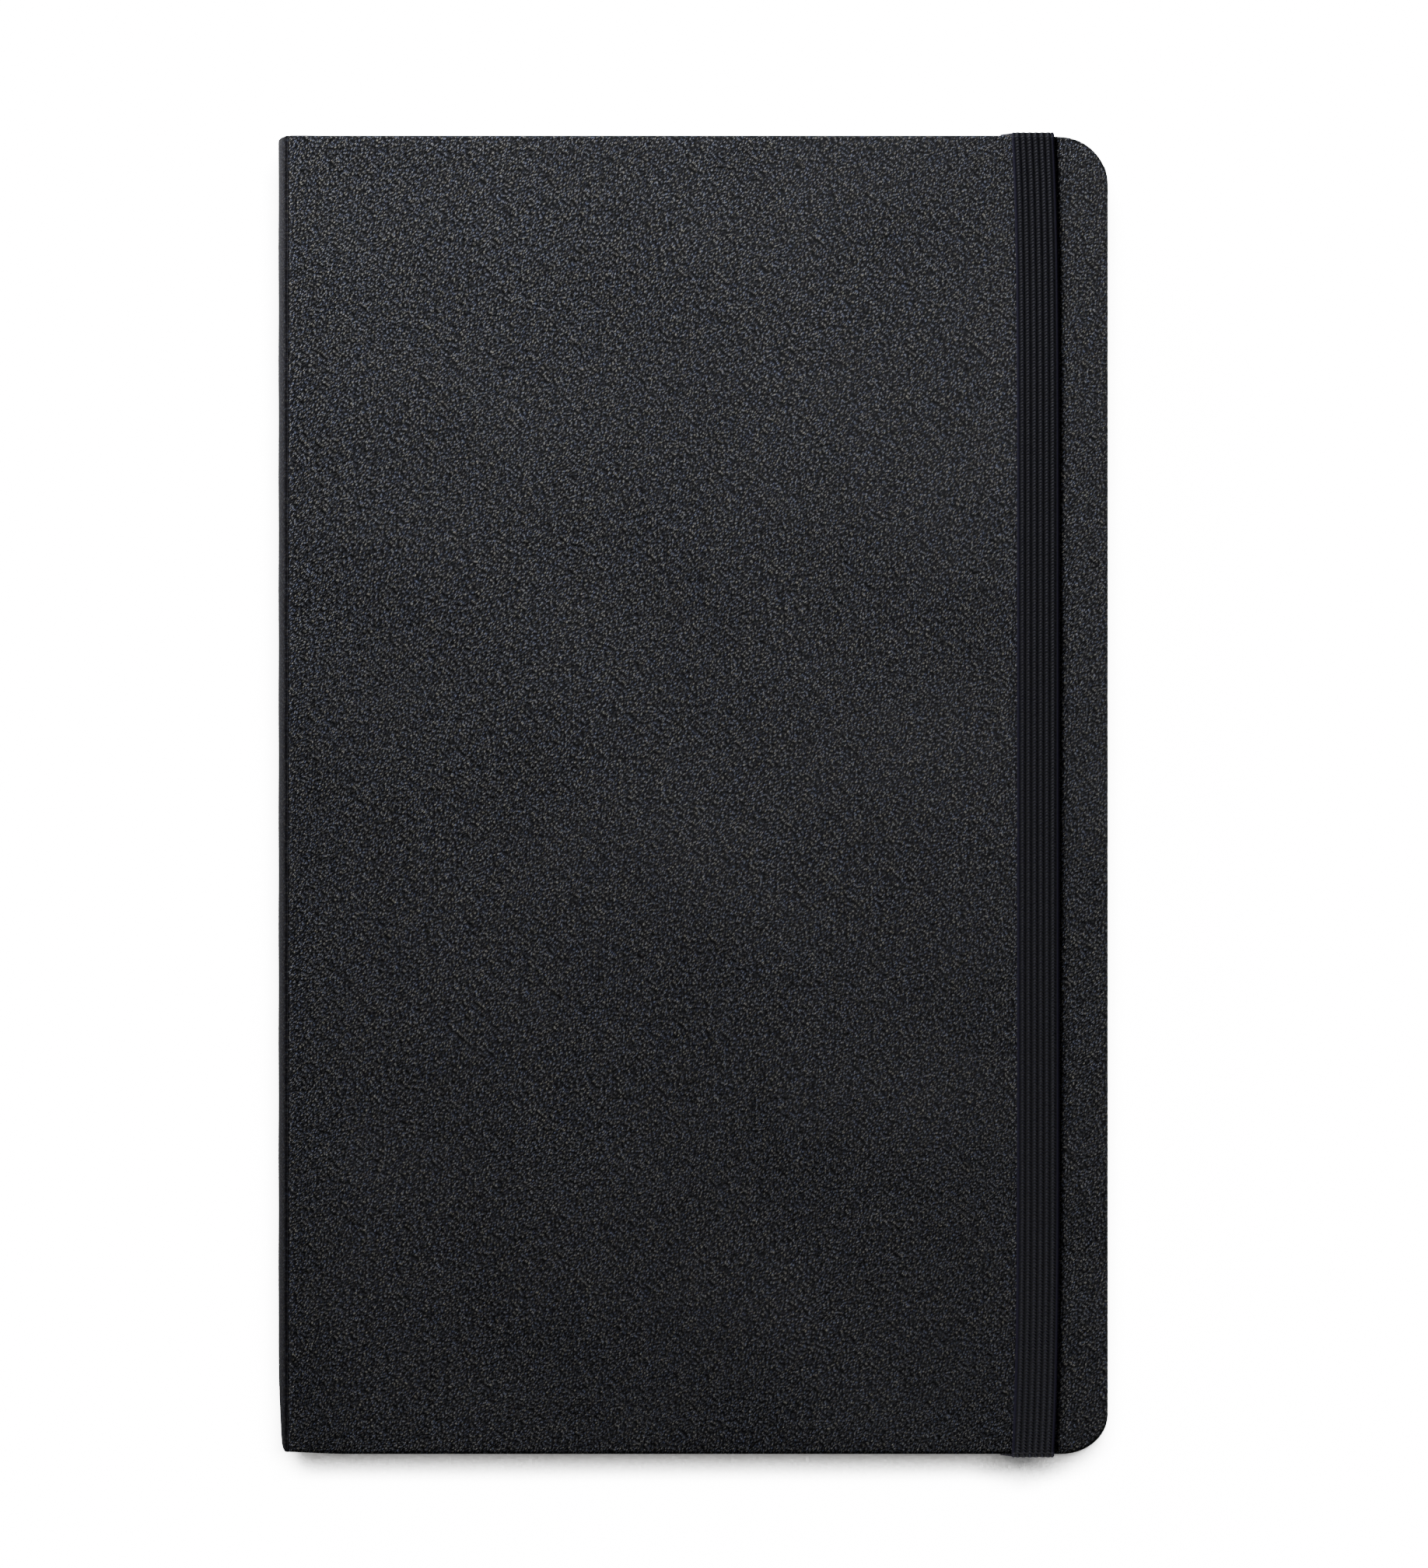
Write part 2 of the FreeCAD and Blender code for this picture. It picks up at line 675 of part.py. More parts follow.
os.makedirs(PARTS_FOLDER, exist_ok=True)
for piece in pieces:
    shape = piece.Shape
    if shape.isNull() or not shape.isValid() or not shape.Solids:
        raise RuntimeError("%s has no valid solid" % piece.Label)
    shape.exportStep(os.path.join(PARTS_FOLDER, piece.Label + ".step"))
    box = shape.BoundBox
    print("%-22s solids %2d  x %8.3f %8.3f  y %8.3f %8.3f  z %7.3f %7.3f" % (
        piece.Label, len(shape.Solids), box.XMin, box.XMax, box.YMin, box.YMax, box.ZMin, box.ZMax))
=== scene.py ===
import json
import math
import random

import bmesh
import bpy
import numpy as np
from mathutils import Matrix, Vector

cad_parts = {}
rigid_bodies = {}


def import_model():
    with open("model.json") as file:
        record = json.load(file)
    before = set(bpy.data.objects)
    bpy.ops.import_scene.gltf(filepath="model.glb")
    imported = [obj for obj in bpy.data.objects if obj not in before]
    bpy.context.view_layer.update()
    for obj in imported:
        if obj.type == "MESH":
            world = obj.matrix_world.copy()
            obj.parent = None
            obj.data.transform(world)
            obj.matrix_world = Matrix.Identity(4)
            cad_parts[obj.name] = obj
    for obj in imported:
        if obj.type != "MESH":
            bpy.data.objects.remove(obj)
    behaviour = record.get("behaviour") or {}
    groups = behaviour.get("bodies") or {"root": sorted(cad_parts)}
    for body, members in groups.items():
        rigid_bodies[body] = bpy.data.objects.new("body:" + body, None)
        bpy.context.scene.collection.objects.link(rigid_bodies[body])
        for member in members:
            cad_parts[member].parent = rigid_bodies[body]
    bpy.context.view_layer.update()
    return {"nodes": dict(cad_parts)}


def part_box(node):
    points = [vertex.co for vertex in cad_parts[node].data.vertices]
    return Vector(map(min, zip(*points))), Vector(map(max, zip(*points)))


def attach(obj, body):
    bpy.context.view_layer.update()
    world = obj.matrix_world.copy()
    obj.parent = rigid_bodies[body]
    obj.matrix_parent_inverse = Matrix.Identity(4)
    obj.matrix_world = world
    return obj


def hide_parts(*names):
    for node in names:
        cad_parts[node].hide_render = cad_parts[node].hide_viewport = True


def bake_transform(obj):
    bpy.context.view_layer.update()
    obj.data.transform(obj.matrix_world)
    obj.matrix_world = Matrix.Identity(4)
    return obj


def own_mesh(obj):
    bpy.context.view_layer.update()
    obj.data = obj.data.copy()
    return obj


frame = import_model()

# ---------------------------------------------------------------- sizes, metres
MM = 0.001
SPINE_X = -66.1 * MM
FORE_X = 66.1 * MM
HALF_Y = 105.0 * MM
THICK = 14.4 * MM
MID_Z = THICK / 2
PANEL_X = SPINE_X + 1.6 * MM  # where the cover's leather parts from the spine's
SPINE_SWELL = 1.4 * MM
SPINE_HALF_CHORD = 6.7 * MM
SPINE_R = (SPINE_HALF_CHORD ** 2 + SPINE_SWELL ** 2) / (2 * SPINE_SWELL)
ARC_X = SPINE_X + SPINE_R
BAND_X = 55.0 * MM  # middle of the elastic over the front
BAND_REAR_X = BAND_X - 2.6 * MM  # and where it goes behind
BAND_HALF = 3.4  # mm, as are the other sizes of the elastic's section

rng = random.Random(7)


# ---------------------------------------------------------------- node helpers
class Nodes:
    """A short way to write a material's node tree."""

    def __init__(self, name):
        self.material = bpy.data.materials.new(name)
        self.material.use_nodes = True
        self.tree = self.material.node_tree
        self.tree.nodes.clear()
        self.out = self.tree.nodes.new("ShaderNodeOutputMaterial")
        self.shader = self.tree.nodes.new("ShaderNodeBsdfPrincipled")
        self.link(self.shader.outputs["BSDF"], self.out.inputs["Surface"])

    def link(self, source, target):
        self.tree.links.new(source, target)

    def feed(self, socket, value):
        """Give a socket another node's output or a constant."""
        if isinstance(value, bpy.types.NodeSocket):
            self.link(value, socket)
        else:
            socket.default_value = value

    def node(self, kind, props=None, **inputs):
        """A node with its inputs named, or numbered as i0, i1 and so on."""
        n = self.tree.nodes.new("ShaderNode" + kind)
        for key, value in (props or {}).items():
            setattr(n, key, value)
        for key, value in inputs.items():
            numbered = key[0] == "i" and key[1:].isdigit()
            self.feed(n.inputs[int(key[1:])] if numbered else n.inputs[key], value)
        return n

    def math(self, operation, a, b=0.0):
        return self.node("Math", {"operation": operation}, i0=a, i1=b).outputs[0]

    def vmath(self, operation, a, b=(0, 0, 0)):
        return self.node("VectorMath", {"operation": operation}, i0=a, i1=b).outputs[0]

    def mapping(self, vector, scale=(1, 1, 1), rotation=(0, 0, 0)):
        return self.node("Mapping", Vector=vector, Scale=scale, Rotation=rotation).outputs[0]

    def noise(self, vector, scale, detail=2.0, roughness=0.5, distortion=0.0):
        return self.node("TexNoise", Vector=vector, Scale=scale, Detail=detail,
                         Roughness=roughness, Distortion=distortion)

    def voronoi(self, vector, scale, randomness=1.0, feature="F1"):
        return self.node("TexVoronoi", {"feature": feature, "voronoi_dimensions": "2D"},
                         Vector=vector, Scale=scale, Randomness=randomness)

    def ramp(self, factor, low, high, to_low=0.0, to_high=1.0):
        n = self.tree.nodes.new("ShaderNodeMapRange")
        n.interpolation_type = "SMOOTHSTEP"
        self.link(factor, n.inputs[0])
        for i, v in enumerate((low, high, to_low, to_high), start=1):
            n.inputs[i].default_value = v
        return n.outputs[0]

    def mix(self, factor, a, b):
        n = self.tree.nodes.new("ShaderNodeMix")
        n.data_type = "RGBA"
        for socket, value in ((n.inputs[0], factor), (n.inputs[6], a), (n.inputs[7], b)):
            self.feed(socket, value)
        return n.outputs[2]

    def uv(self):
        return self.tree.nodes.new("ShaderNodeUVMap").outputs[0]

    def place(self):
        return self.tree.nodes.new("ShaderNodeTexCoord").outputs["Object"]

    def bump(self, height, distance, strength=1.0):
        return self.node("Bump", Height=height, Distance=distance, Strength=strength).outputs[0]

    def set(self, **inputs):
        """The shader's inputs by name, with the finished material returned."""
        for key, value in inputs.items():
            self.feed(self.shader.inputs[key.replace("_", " ")], value)
        return self.material


# ---------------------------------------------------------------- materials
def leather_material():
    """Pebbled black leather: long leaning cells with painted highlights on their tops and painted
    shade in their valleys, smoother beside the spine.
    """
    cell_scale, fine_scale, patch_scale = 3350.0, 5200.0, 1700.0  # cells per metre
    lean = math.radians(-50)
    stretch = (0.44, 1.38, 1.0)
    drift_size, bend_size = 0.00024, 0.005
    relief = 0.28 * MM
    smooth_from, smooth_to = -65.2 * MM, -64.2 * MM
    # painted shade for the valleys between the cells
    painted_valley_shade = (0.0008, 0.0009, 0.0018, 1)
    blue, warm = (0.0040, 0.0046, 0.0095, 1), (0.0072, 0.0067, 0.0066, 1)
    # colours of the painted highlights on the cells' tops
    painted_glint_blue, painted_glint_warm = (0.300, 0.355, 0.560, 1), (0.680, 0.640, 0.510, 1)
    beside_spine = (0.0150, 0.0138, 0.0165, 1)

    n = Nodes("cover_leather")
    uv = n.uv()
    half = (0.5, 0.5, 0.5)
    drift = n.vmath("MULTIPLY", n.vmath("SUBTRACT", n.noise(uv, 900.0, 2.0).outputs["Color"], half),
                    (drift_size, drift_size, 0))
    bend = n.vmath("MULTIPLY", n.vmath("SUBTRACT", n.noise(uv, 22.0, 1.0).outputs["Color"], half),
                   (bend_size, bend_size, 0))
    spot = n.vmath("ADD", n.vmath("ADD", uv, drift), bend)
    long_cells = n.mapping(n.mapping(spot, rotation=(0, 0, lean)), scale=stretch)
    cells = n.voronoi(long_cells, cell_scale, 0.9)
    valley = n.voronoi(long_cells, cell_scale, 0.9, "DISTANCE_TO_EDGE")
    fine = n.voronoi(long_cells, fine_scale)
    per_cell = n.node("SeparateColor", Color=cells.outputs["Color"]).outputs[0]

    dome = n.ramp(cells.outputs["Distance"], 0.0, 0.75, 1.0, 0.0)
    plateau = n.ramp(valley.outputs["Distance"], 0.01, 0.26, 0.0, 1.0)
    fine_height = n.ramp(fine.outputs["Distance"], 0.0, 0.7, 1.0, 0.0)
    swell = n.noise(uv, 300.0, 2.0).outputs[0]
    height = n.math("ADD", n.math("MULTIPLY", dome, 0.45), n.math("MULTIPLY", plateau, 0.55))
    height = n.math("MULTIPLY", height, n.math("ADD", 0.7, n.math("MULTIPLY", per_cell, 0.4)))
    height = n.math("ADD", height, n.math("MULTIPLY", fine_height, 0.12))
    height = n.math("ADD", height, n.math("MULTIPLY", swell, 0.35))
    across = n.node("SeparateXYZ", Vector=uv).outputs[0]
    from_spine = n.ramp(across, smooth_from, smooth_to, 0.2, 1.0)
    normal = n.bump(height, relief, from_spine)

    cloud = n.noise(uv, 45.0, 3.0, 0.55).outputs[0]
    # Painted shade: the valleys between the cells are darker, with random cloudy tone mixed in.
    tone = n.math("ADD", n.math("MULTIPLY", plateau, 0.7), n.math("MULTIPLY", cloud, 0.3))
    patch = n.noise(long_cells, patch_scale, 2.0, 0.6).outputs[0]
    # Painted highlight: pale flecks on the cells' tops, in noisy patches, stand in for glints.
    painted_glint = n.math("MULTIPLY", n.ramp(cells.outputs["Distance"], 0.02, 0.40, 1.0, 0.0),
                   n.ramp(patch, 0.33, 0.64, 0.0, 1.0))
    base = n.mix(tone, painted_valley_shade, n.mix(per_cell, blue, warm))
    base = n.mix(painted_glint, base, n.mix(per_cell, painted_glint_blue, painted_glint_warm))
    base = n.mix(from_spine, beside_spine, base)
    rough = n.math("ADD", n.ramp(plateau, 0.2, 1.0, 0.50, 0.36), n.math("MULTIPLY", cloud, 0.08))
    rough = n.math("ADD", rough, n.math("MULTIPLY", n.math("SUBTRACT", 1.0, from_spine), 0.2))
    return n.set(Base_Color=base, Roughness=rough, Normal=normal, Specular_IOR_Level=0.23)


def elastic_material():
    """Knitted elastic: lines of slanting loops, with a bare cord along each edge."""
    rib_pitch, stitch_pitch, slant, unevenness = 0.97 * MM, 0.50 * MM, 1.15, 0.7
    cord_from, cord_to = 2.90 * MM, 3.0 * MM
    # gap is painted shade between the loops and between the ribs
    gap, cord_colour = (0.0008, 0.0008, 0.0020, 1), (0.0110, 0.0095, 0.0210, 1)
    blue_yarn, grey_yarn = (0.0110, 0.0122, 0.0280, 1), (0.0250, 0.0235, 0.0280, 1)

    n = Nodes("elastic_knit")
    uv = n.uv()
    parts = n.node("SeparateXYZ", Vector=uv)
    across, along = parts.outputs[0], parts.outputs[1]
    from_rib = n.math("ABSOLUTE", n.math("SUBTRACT", n.math("FRACT", n.math(
        "MULTIPLY", across, 1 / rib_pitch)), 0.5))
    jitter = n.noise(uv, 1500.0, 3.0, 0.6).outputs[0]
    phase = n.math("ADD", n.math("MULTIPLY", along, 1 / stitch_pitch),
                   n.math("MULTIPLY", from_rib, slant))
    phase = n.math("ADD", phase, n.math("MULTIPLY", jitter, unevenness))
    stitch = n.math("ADD", n.math("MULTIPLY", n.math("SINE", n.math(
        "MULTIPLY", phase, 2 * math.pi)), 0.5), 0.5)
    cord = n.ramp(n.math("ABSOLUTE", across), cord_from, cord_to, 0.0, 1.0)
    rib = n.ramp(from_rib, 0.05, 0.42, 1.0, 0.25)
    loops = n.math("MULTIPLY", stitch, rib)
    fuzz = n.noise(uv, 7000.0, 3.0, 0.7).outputs[0]
    height = n.math("ADD", n.math("MULTIPLY", loops, 0.75), n.math("MULTIPLY", fuzz, 0.5))
    height = n.math("MULTIPLY", height, n.math("SUBTRACT", 1.0, n.math("MULTIPLY", cord, 0.7)))
    # Painted shade: the gap colour darkens the knit between the loops and between the ribs.
    base = n.mix(loops, gap, n.mix(jitter, blue_yarn, grey_yarn))
    base = n.mix(cord, base, cord_colour)
    return n.set(Base_Color=base, Roughness=0.55, Normal=n.bump(height, 0.13 * MM),
                 Specular_IOR_Level=0.22, Sheen_Weight=0.02, Sheen_Roughness=0.4)


def paper_material(name, tone, tooth, speckle=0.0):
    """Uncoated paper: faint cloudiness, fibres and a little tooth."""
    speck_colour = (0.10, 0.09, 0.08, 1)

    def shade(share):
        return tuple(c * share for c in tone) + (1,)

    n = Nodes(name)
    place = n.place()
    cloud = n.noise(place, 60.0, 4.0, 0.6).outputs[0]
    fibre = n.noise(n.mapping(place, scale=(1, 3.5, 1)), 1800.0, 4.0, 0.65, 1.2).outputs[0]
    base = n.mix(cloud, shade(0.93), shade(1))
    base = n.mix(n.math("MULTIPLY", n.ramp(fibre, 0.35, 0.75), 0.10), base, shade(0.72))
    if speckle:
        fleck = n.node("TexVoronoi", {"feature": "F1"}, Vector=n.mapping(place, scale=(1, 0.35, 1)),
                       Scale=420.0).outputs["Distance"]
        base = n.mix(n.math("MULTIPLY", n.ramp(fleck, 0.0, 0.22, 1.0, 0.0), speckle), base,
                     speck_colour)
    grain = n.noise(place, 2600.0, 5.0, 0.7).outputs[0]
    height = n.math("ADD", n.math("MULTIPLY", grain, 0.7), n.math("MULTIPLY", fibre, 0.3))
    rough = n.ramp(cloud, 0.2, 0.8, 0.78, 0.90)
    return n.set(Base_Color=base, Roughness=rough, Normal=n.bump(height, tooth),
                 Specular_IOR_Level=0.25)


def weave_material(name, dark, light, pitch, depth, axes):
    """Plain weave along two axes: threads over and under, with the gaps darker."""
    n = Nodes(name)
    parts = n.node("SeparateXYZ", Vector=n.place())
    waves = [n.math("SINE", n.math("MULTIPLY", parts.outputs[axis], math.pi / pitch))
             for axis in axes]
    over = n.math("MULTIPLY", *waves)
    thread = n.math("MAXIMUM", *[n.math("ABSOLUTE", wave) for wave in waves])
    height = n.math("ADD", thread, n.math("MULTIPLY", over, 0.4))
    fuzz = n.noise(n.place(), 5000.0, 3.0, 0.7).outputs[0]
    height = n.math("ADD", height, n.math("MULTIPLY", fuzz, 0.4))
    base = n.mix(n.ramp(thread, 0.55, 1.0), dark + (1,), light + (1,))
    return n.set(Base_Color=base, Roughness=0.85, Normal=n.bump(height, depth),
                 Specular_IOR_Level=0.2, Sheen_Weight=0.15, Sheen_Roughness=0.5)


def thread_material():
    """Linen thread with a twist of 0.35 mm to the turn."""
    twist_pitch = 0.35 * MM
    dark, light = (0.48, 0.45, 0.38, 1), (0.74, 0.71, 0.62, 1)

    n = Nodes("linen_thread")
    parts = n.node("SeparateXYZ", Vector=n.place())
    slanted = n.math("ADD", parts.outputs[1], parts.outputs[2])
    twist = n.math("SINE", n.math("MULTIPLY", slanted, 2 * math.pi / twist_pitch))
    fuzz = n.noise(n.place(), 6000.0, 3.0, 0.7).outputs[0]
    height = n.math("ADD", n.math("MULTIPLY", twist, 0.5), n.math("MULTIPLY", fuzz, 0.5))
    return n.set(Base_Color=n.mix(n.ramp(twist, -1.0, 1.0), dark, light), Roughness=0.6,
                 Normal=n.bump(height, 0.06 * MM), Specular_IOR_Level=0.35)


LEATHER_LOOK = leather_material()
ELASTIC_LOOK = elastic_material()
DRAWING_LOOK = paper_material("drawing_paper", (0.80, 0.755, 0.655), 0.05 * MM)
ENDPAPER_LOOK = paper_material("endpaper", (0.76, 0.715, 0.61), 0.03 * MM)
CARD_LOOK = paper_material("pocket_card", (0.75, 0.705, 0.60), 0.03 * MM)
LINING_LOOK = paper_material("lining_paper", (0.56, 0.53, 0.47), 0.04 * MM)
BOARD_LOOK = paper_material("grey_board", (0.34, 0.33, 0.31), 0.06 * MM, speckle=0.5)
CLOTH_LOOK = weave_material("pocket_cloth", (0.006, 0.006, 0.007), (0.030, 0.030, 0.034),
                            0.28 * MM, 0.08 * MM, "XY")
MULL_LOOK = weave_material("mull_cloth", (0.22, 0.20, 0.16), (0.70, 0.66, 0.58),
                           1.1 * MM, 0.10 * MM, "YZ")
THREAD_LOOK = thread_material()


# ---------------------------------------------------------------- mesh helpers
def make_mesh(name, verts, faces, look, uvs=None):
    """A mesh object from points, faces and one UV for each point."""
    mesh = bpy.data.meshes.new(name)
    mesh.from_pydata([tuple(v) for v in verts], [], faces)
    mesh.materials.append(look)
    if uvs is not None:
        layer = mesh.uv_layers.new(name="UVMap")
        index = np.zeros(len(mesh.loops), dtype=np.int32)
        mesh.loops.foreach_get("vertex_index", index)
        layer.data.foreach_set("uv", np.asarray(uvs, float)[index].astype(np.float32).ravel())
    mesh.polygons.foreach_set("use_smooth", [True] * len(mesh.polygons))
    mesh.update()
    obj = bpy.data.objects.new(name, mesh)
    bpy.context.scene.collection.objects.link(obj)
    return obj


def recalculate(obj, merge=0.0):
    """Face normals outward, with points nearer than merge joined."""
    bm = bmesh.new()
    bm.from_mesh(obj.data)
    if merge:
        bmesh.ops.remove_doubles(bm, verts=bm.verts, dist=merge)
    bmesh.ops.recalc_face_normals(bm, faces=bm.faces)
    bm.to_mesh(obj.data)
    bm.free()


def loft(name, groups, look, uvs=None):
    """Closed solids made into one mesh, each a group of rings with as many points."""
    verts, faces = [], []
    for rings in groups:
        count, base = len(rings[0]), len(verts)
        verts += [p for ring in rings for p in ring]
        for k in range(len(rings) - 1):
            a, b = base + k * count, base + (k + 1) * count
            faces += [(a + i, a + (i + 1) % count, b + (i + 1) % count, b + i)
                      for i in range(count)]
        faces.append(tuple(base + i for i in range(count))[::-1])
        last = base + (len(rings) - 1) * count
        faces.append(tuple(last + i for i in range(count)))
    obj = make_mesh(name, verts, faces, look, uvs)
    recalculate(obj)
    return obj


def smoothstep(low, high, value):
    """0 below low, 1 above high, and an even curve between them."""
    t = np.clip((np.asarray(value, float) - low) / (high - low), 0, 1)
    return t * t * (3 - 2 * t)


def place_piece(obj, body, node):
    """Let a piece ride a body in place of the CAD node that it details."""
    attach(obj, body)
    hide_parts(node)


def ripple(x, y):
    """Slow unevenness of a covered board, -1 to 1."""
    x, y = np.asarray(x) / MM, np.asarray(y) / MM
    return (0.35 * np.sin(x * 0.061 + 1.3) * np.cos(y * 0.043 + 0.4)
            + 0.3 * np.sin(x * 0.13 + y * 0.09 + 2.0)
            + 0.2 * np.cos(x * 0.21 - y * 0.17 + 0.9)
            + 0.15 * np.sin(x * 0.37 + 0.7) * np.sin(y * 0.33 + 1.9))


def crease_drop(depth_in):
    """How far the cover's face lies below its flat part, by distance from the spine edge."""
    d = np.asarray(depth_in) / MM
    return np.interp(d, [0.0, 1.6, 1.72, 1.84, 2.0, 2.2, 2.5, 2.9, 3.5, 4.6],
                     [1.2, 1.2, 1.06, 0.70, 0.42, 0.23, 0.11, 0.05, 0.015, 0.0]) * MM


def spine_pull(y):
    """How far the spine's outer edge is drawn in near the tail and head."""
    tail_y = [-105, -104.85, -104.6, -104.2, -103.6, -102.8, -101.5, -99.5, -97, -94.5, -88]
    tail_pull = [1.25, 1.02, 0.85, 0.70, 0.58, 0.50, 0.43, 0.35, 0.25, 0.12, 0]
    head_y, head_pull = [104.2, 104.5, 104.7, 105], [0, 0.12, 0.5, 1.3]
    return np.interp(np.asarray(y) / MM, tail_y + head_y, tail_pull + head_pull) * MM


# ---------------------------------------------------------------- covers
FRAME_W = 9.0 * MM  # the border round the inner rectangle of a cover's mesh
CHANNEL_HALF = 3.6 * MM
CHANNEL_END = 91.9 * MM
CHANNEL_DEPTH = 0.62 * MM
CHANNEL_WALL = 0.12 * MM
CHANNEL_X = [BAND_REAR_X + s * (CHANNEL_HALF + w * CHANNEL_WALL)
             for s in (-1, 1) for w in (-1, 0, 1)]
CHANNEL_Y = [s * (CHANNEL_END + w * CHANNEL_WALL) for s in (-1, 1) for w in (-1, 0, 1)]


def grid_lines(low, high, steps, extra):
    """Evenly spaced lines, with the extra ones in place of any that lie close to them."""
    close = 0.35 * MM
    even = [v for v in np.linspace(low, high, steps + 1)
            if v in (low, high) or min(abs(v - e) for e in extra) > close]
    return np.array(sorted(even + [e for e in extra if low < e < high]))


def channel_drop(x, y):
    """Depth of the channels that the elastic's fixed ends lie in."""
    wall = CHANNEL_WALL
    across = (smoothstep(-wall, wall, x - BAND_REAR_X + CHANNEL_HALF)
              * smoothstep(-wall, wall, BAND_REAR_X + CHANNEL_HALF - x))
    return CHANNEL_DEPTH * across * smoothstep(-wall, wall, np.abs(y) - CHANNEL_END)


def cover_loop():
    """Matching points on the cover's outline and on the inner rectangle, all the way round."""
    head, tail, square = (7.75, 7.75), (7.4, 6.3), (0.5, 0.5)  # corner radii along x and y, mm
    round_steps, square_steps = 18, 4
    left, right, top = PANEL_X, FORE_X, HALF_Y
    il, ir, it = left + FRAME_W, right - FRAME_W, top - FRAME_W
    loop = []

    def straight_x(along, y, out):
        for x in along[:-1]:
            loop.append((x, y + out * FRAME_W, x, y))

    def straight_y(x, along, out):
        for y in along[:-1]:
            loop.append((x + out * FRAME_W, y, x, y))

    def fan(cx, cy, sx, sy, radii, from_level_side, steps):
        """Round one corner, starting on its horizontal or on its upright side."""
        rx, ry = radii[0] * MM, radii[1] * MM
        ex, ey = cx + sx * FRAME_W, cy + sy * FRAME_W
        path = []
        lead = 4
        for s in range(lead):
            path.append((cx + (ex - sx * rx - cx) * s / lead, ey))
        for s in range(steps + 1):
            a = math.pi / 2 * s / steps
            path.append((ex - sx * rx * (1 - math.sin(a)), ey - sy * ry * (1 - math.cos(a))))
        for s in range(1, lead + 1):
            path.append((ex, ey - sy * ry + (cy - ey + sy * ry) * s / lead))
        if not from_level_side:
            path.reverse()
        for px, py in path[:-1]:
            loop.append((px, py, cx, cy))

    xs, ys = grid_lines(il, ir, 60, CHANNEL_X), grid_lines(-it, it, 100, CHANNEL_Y)
    straight_x(xs, -it, -1)
    fan(ir, -it, 1, -1, tail, True, round_steps)
    straight_y(ir, ys, 1)
    fan(ir, it, 1, 1, head, False, round_steps)
    straight_x(xs[::-1], it, 1)
    fan(il, it, -1, 1, square, True, square_steps)
    straight_y(il, ys[::-1], -1)
    fan(il, -it, -1, -1, square, False, square_steps)
    loop = np.array(loop)
    x, y = loop[:, 0], loop[:, 1]
    # The head dips past the elastic and swells by the crease; the tail is cut in at the spine.
    loop[:, 1] -= 0.22 * MM * smoothstep(53 * MM, 60 * MM, x) * (y > 100 * MM)
    loop[:, 1] += 0.30 * MM * (1 - smoothstep(1.5 * MM, 11 * MM, x - SPINE_X)) * (y < -100 * MM)
    loop[:, 1] += 0.12 * MM * np.exp(-((x - SPINE_X - 3.2 * MM) / (1.1 * MM)) ** 2) * (y > 100 * MM)
    return loop, xs, ys


# The cover's edge in mm: insets of the rings on its face, then the roll over the edge and under,
# as inset and height below the face.
FACE_INSETS = [9.0, 7.0, 5.4, 4.2, 3.2, 2.5, 2.0, 1.6, 1.25, 0.95, 0.7, 0.5]
EDGE_ROLL = [(0.36, 0.03), (0.24, 0.09), (0.14, 0.17), (0.06, 0.28), (0.015, 0.40), (0.0, 0.52),
             (0.0, 0.66), (0.012, 0.80), (0.05, 0.92), (0.12, 1.03), (0.22, 1.11), (0.36, 1.165),
             (0.55, 1.19), (0.9, 1.2), (2.0, 1.2), (5.0, 1.2), (9.0, 1.2)]
FACE_FADE = 0.9 * MM  # height below the face at which its unevenness has gone


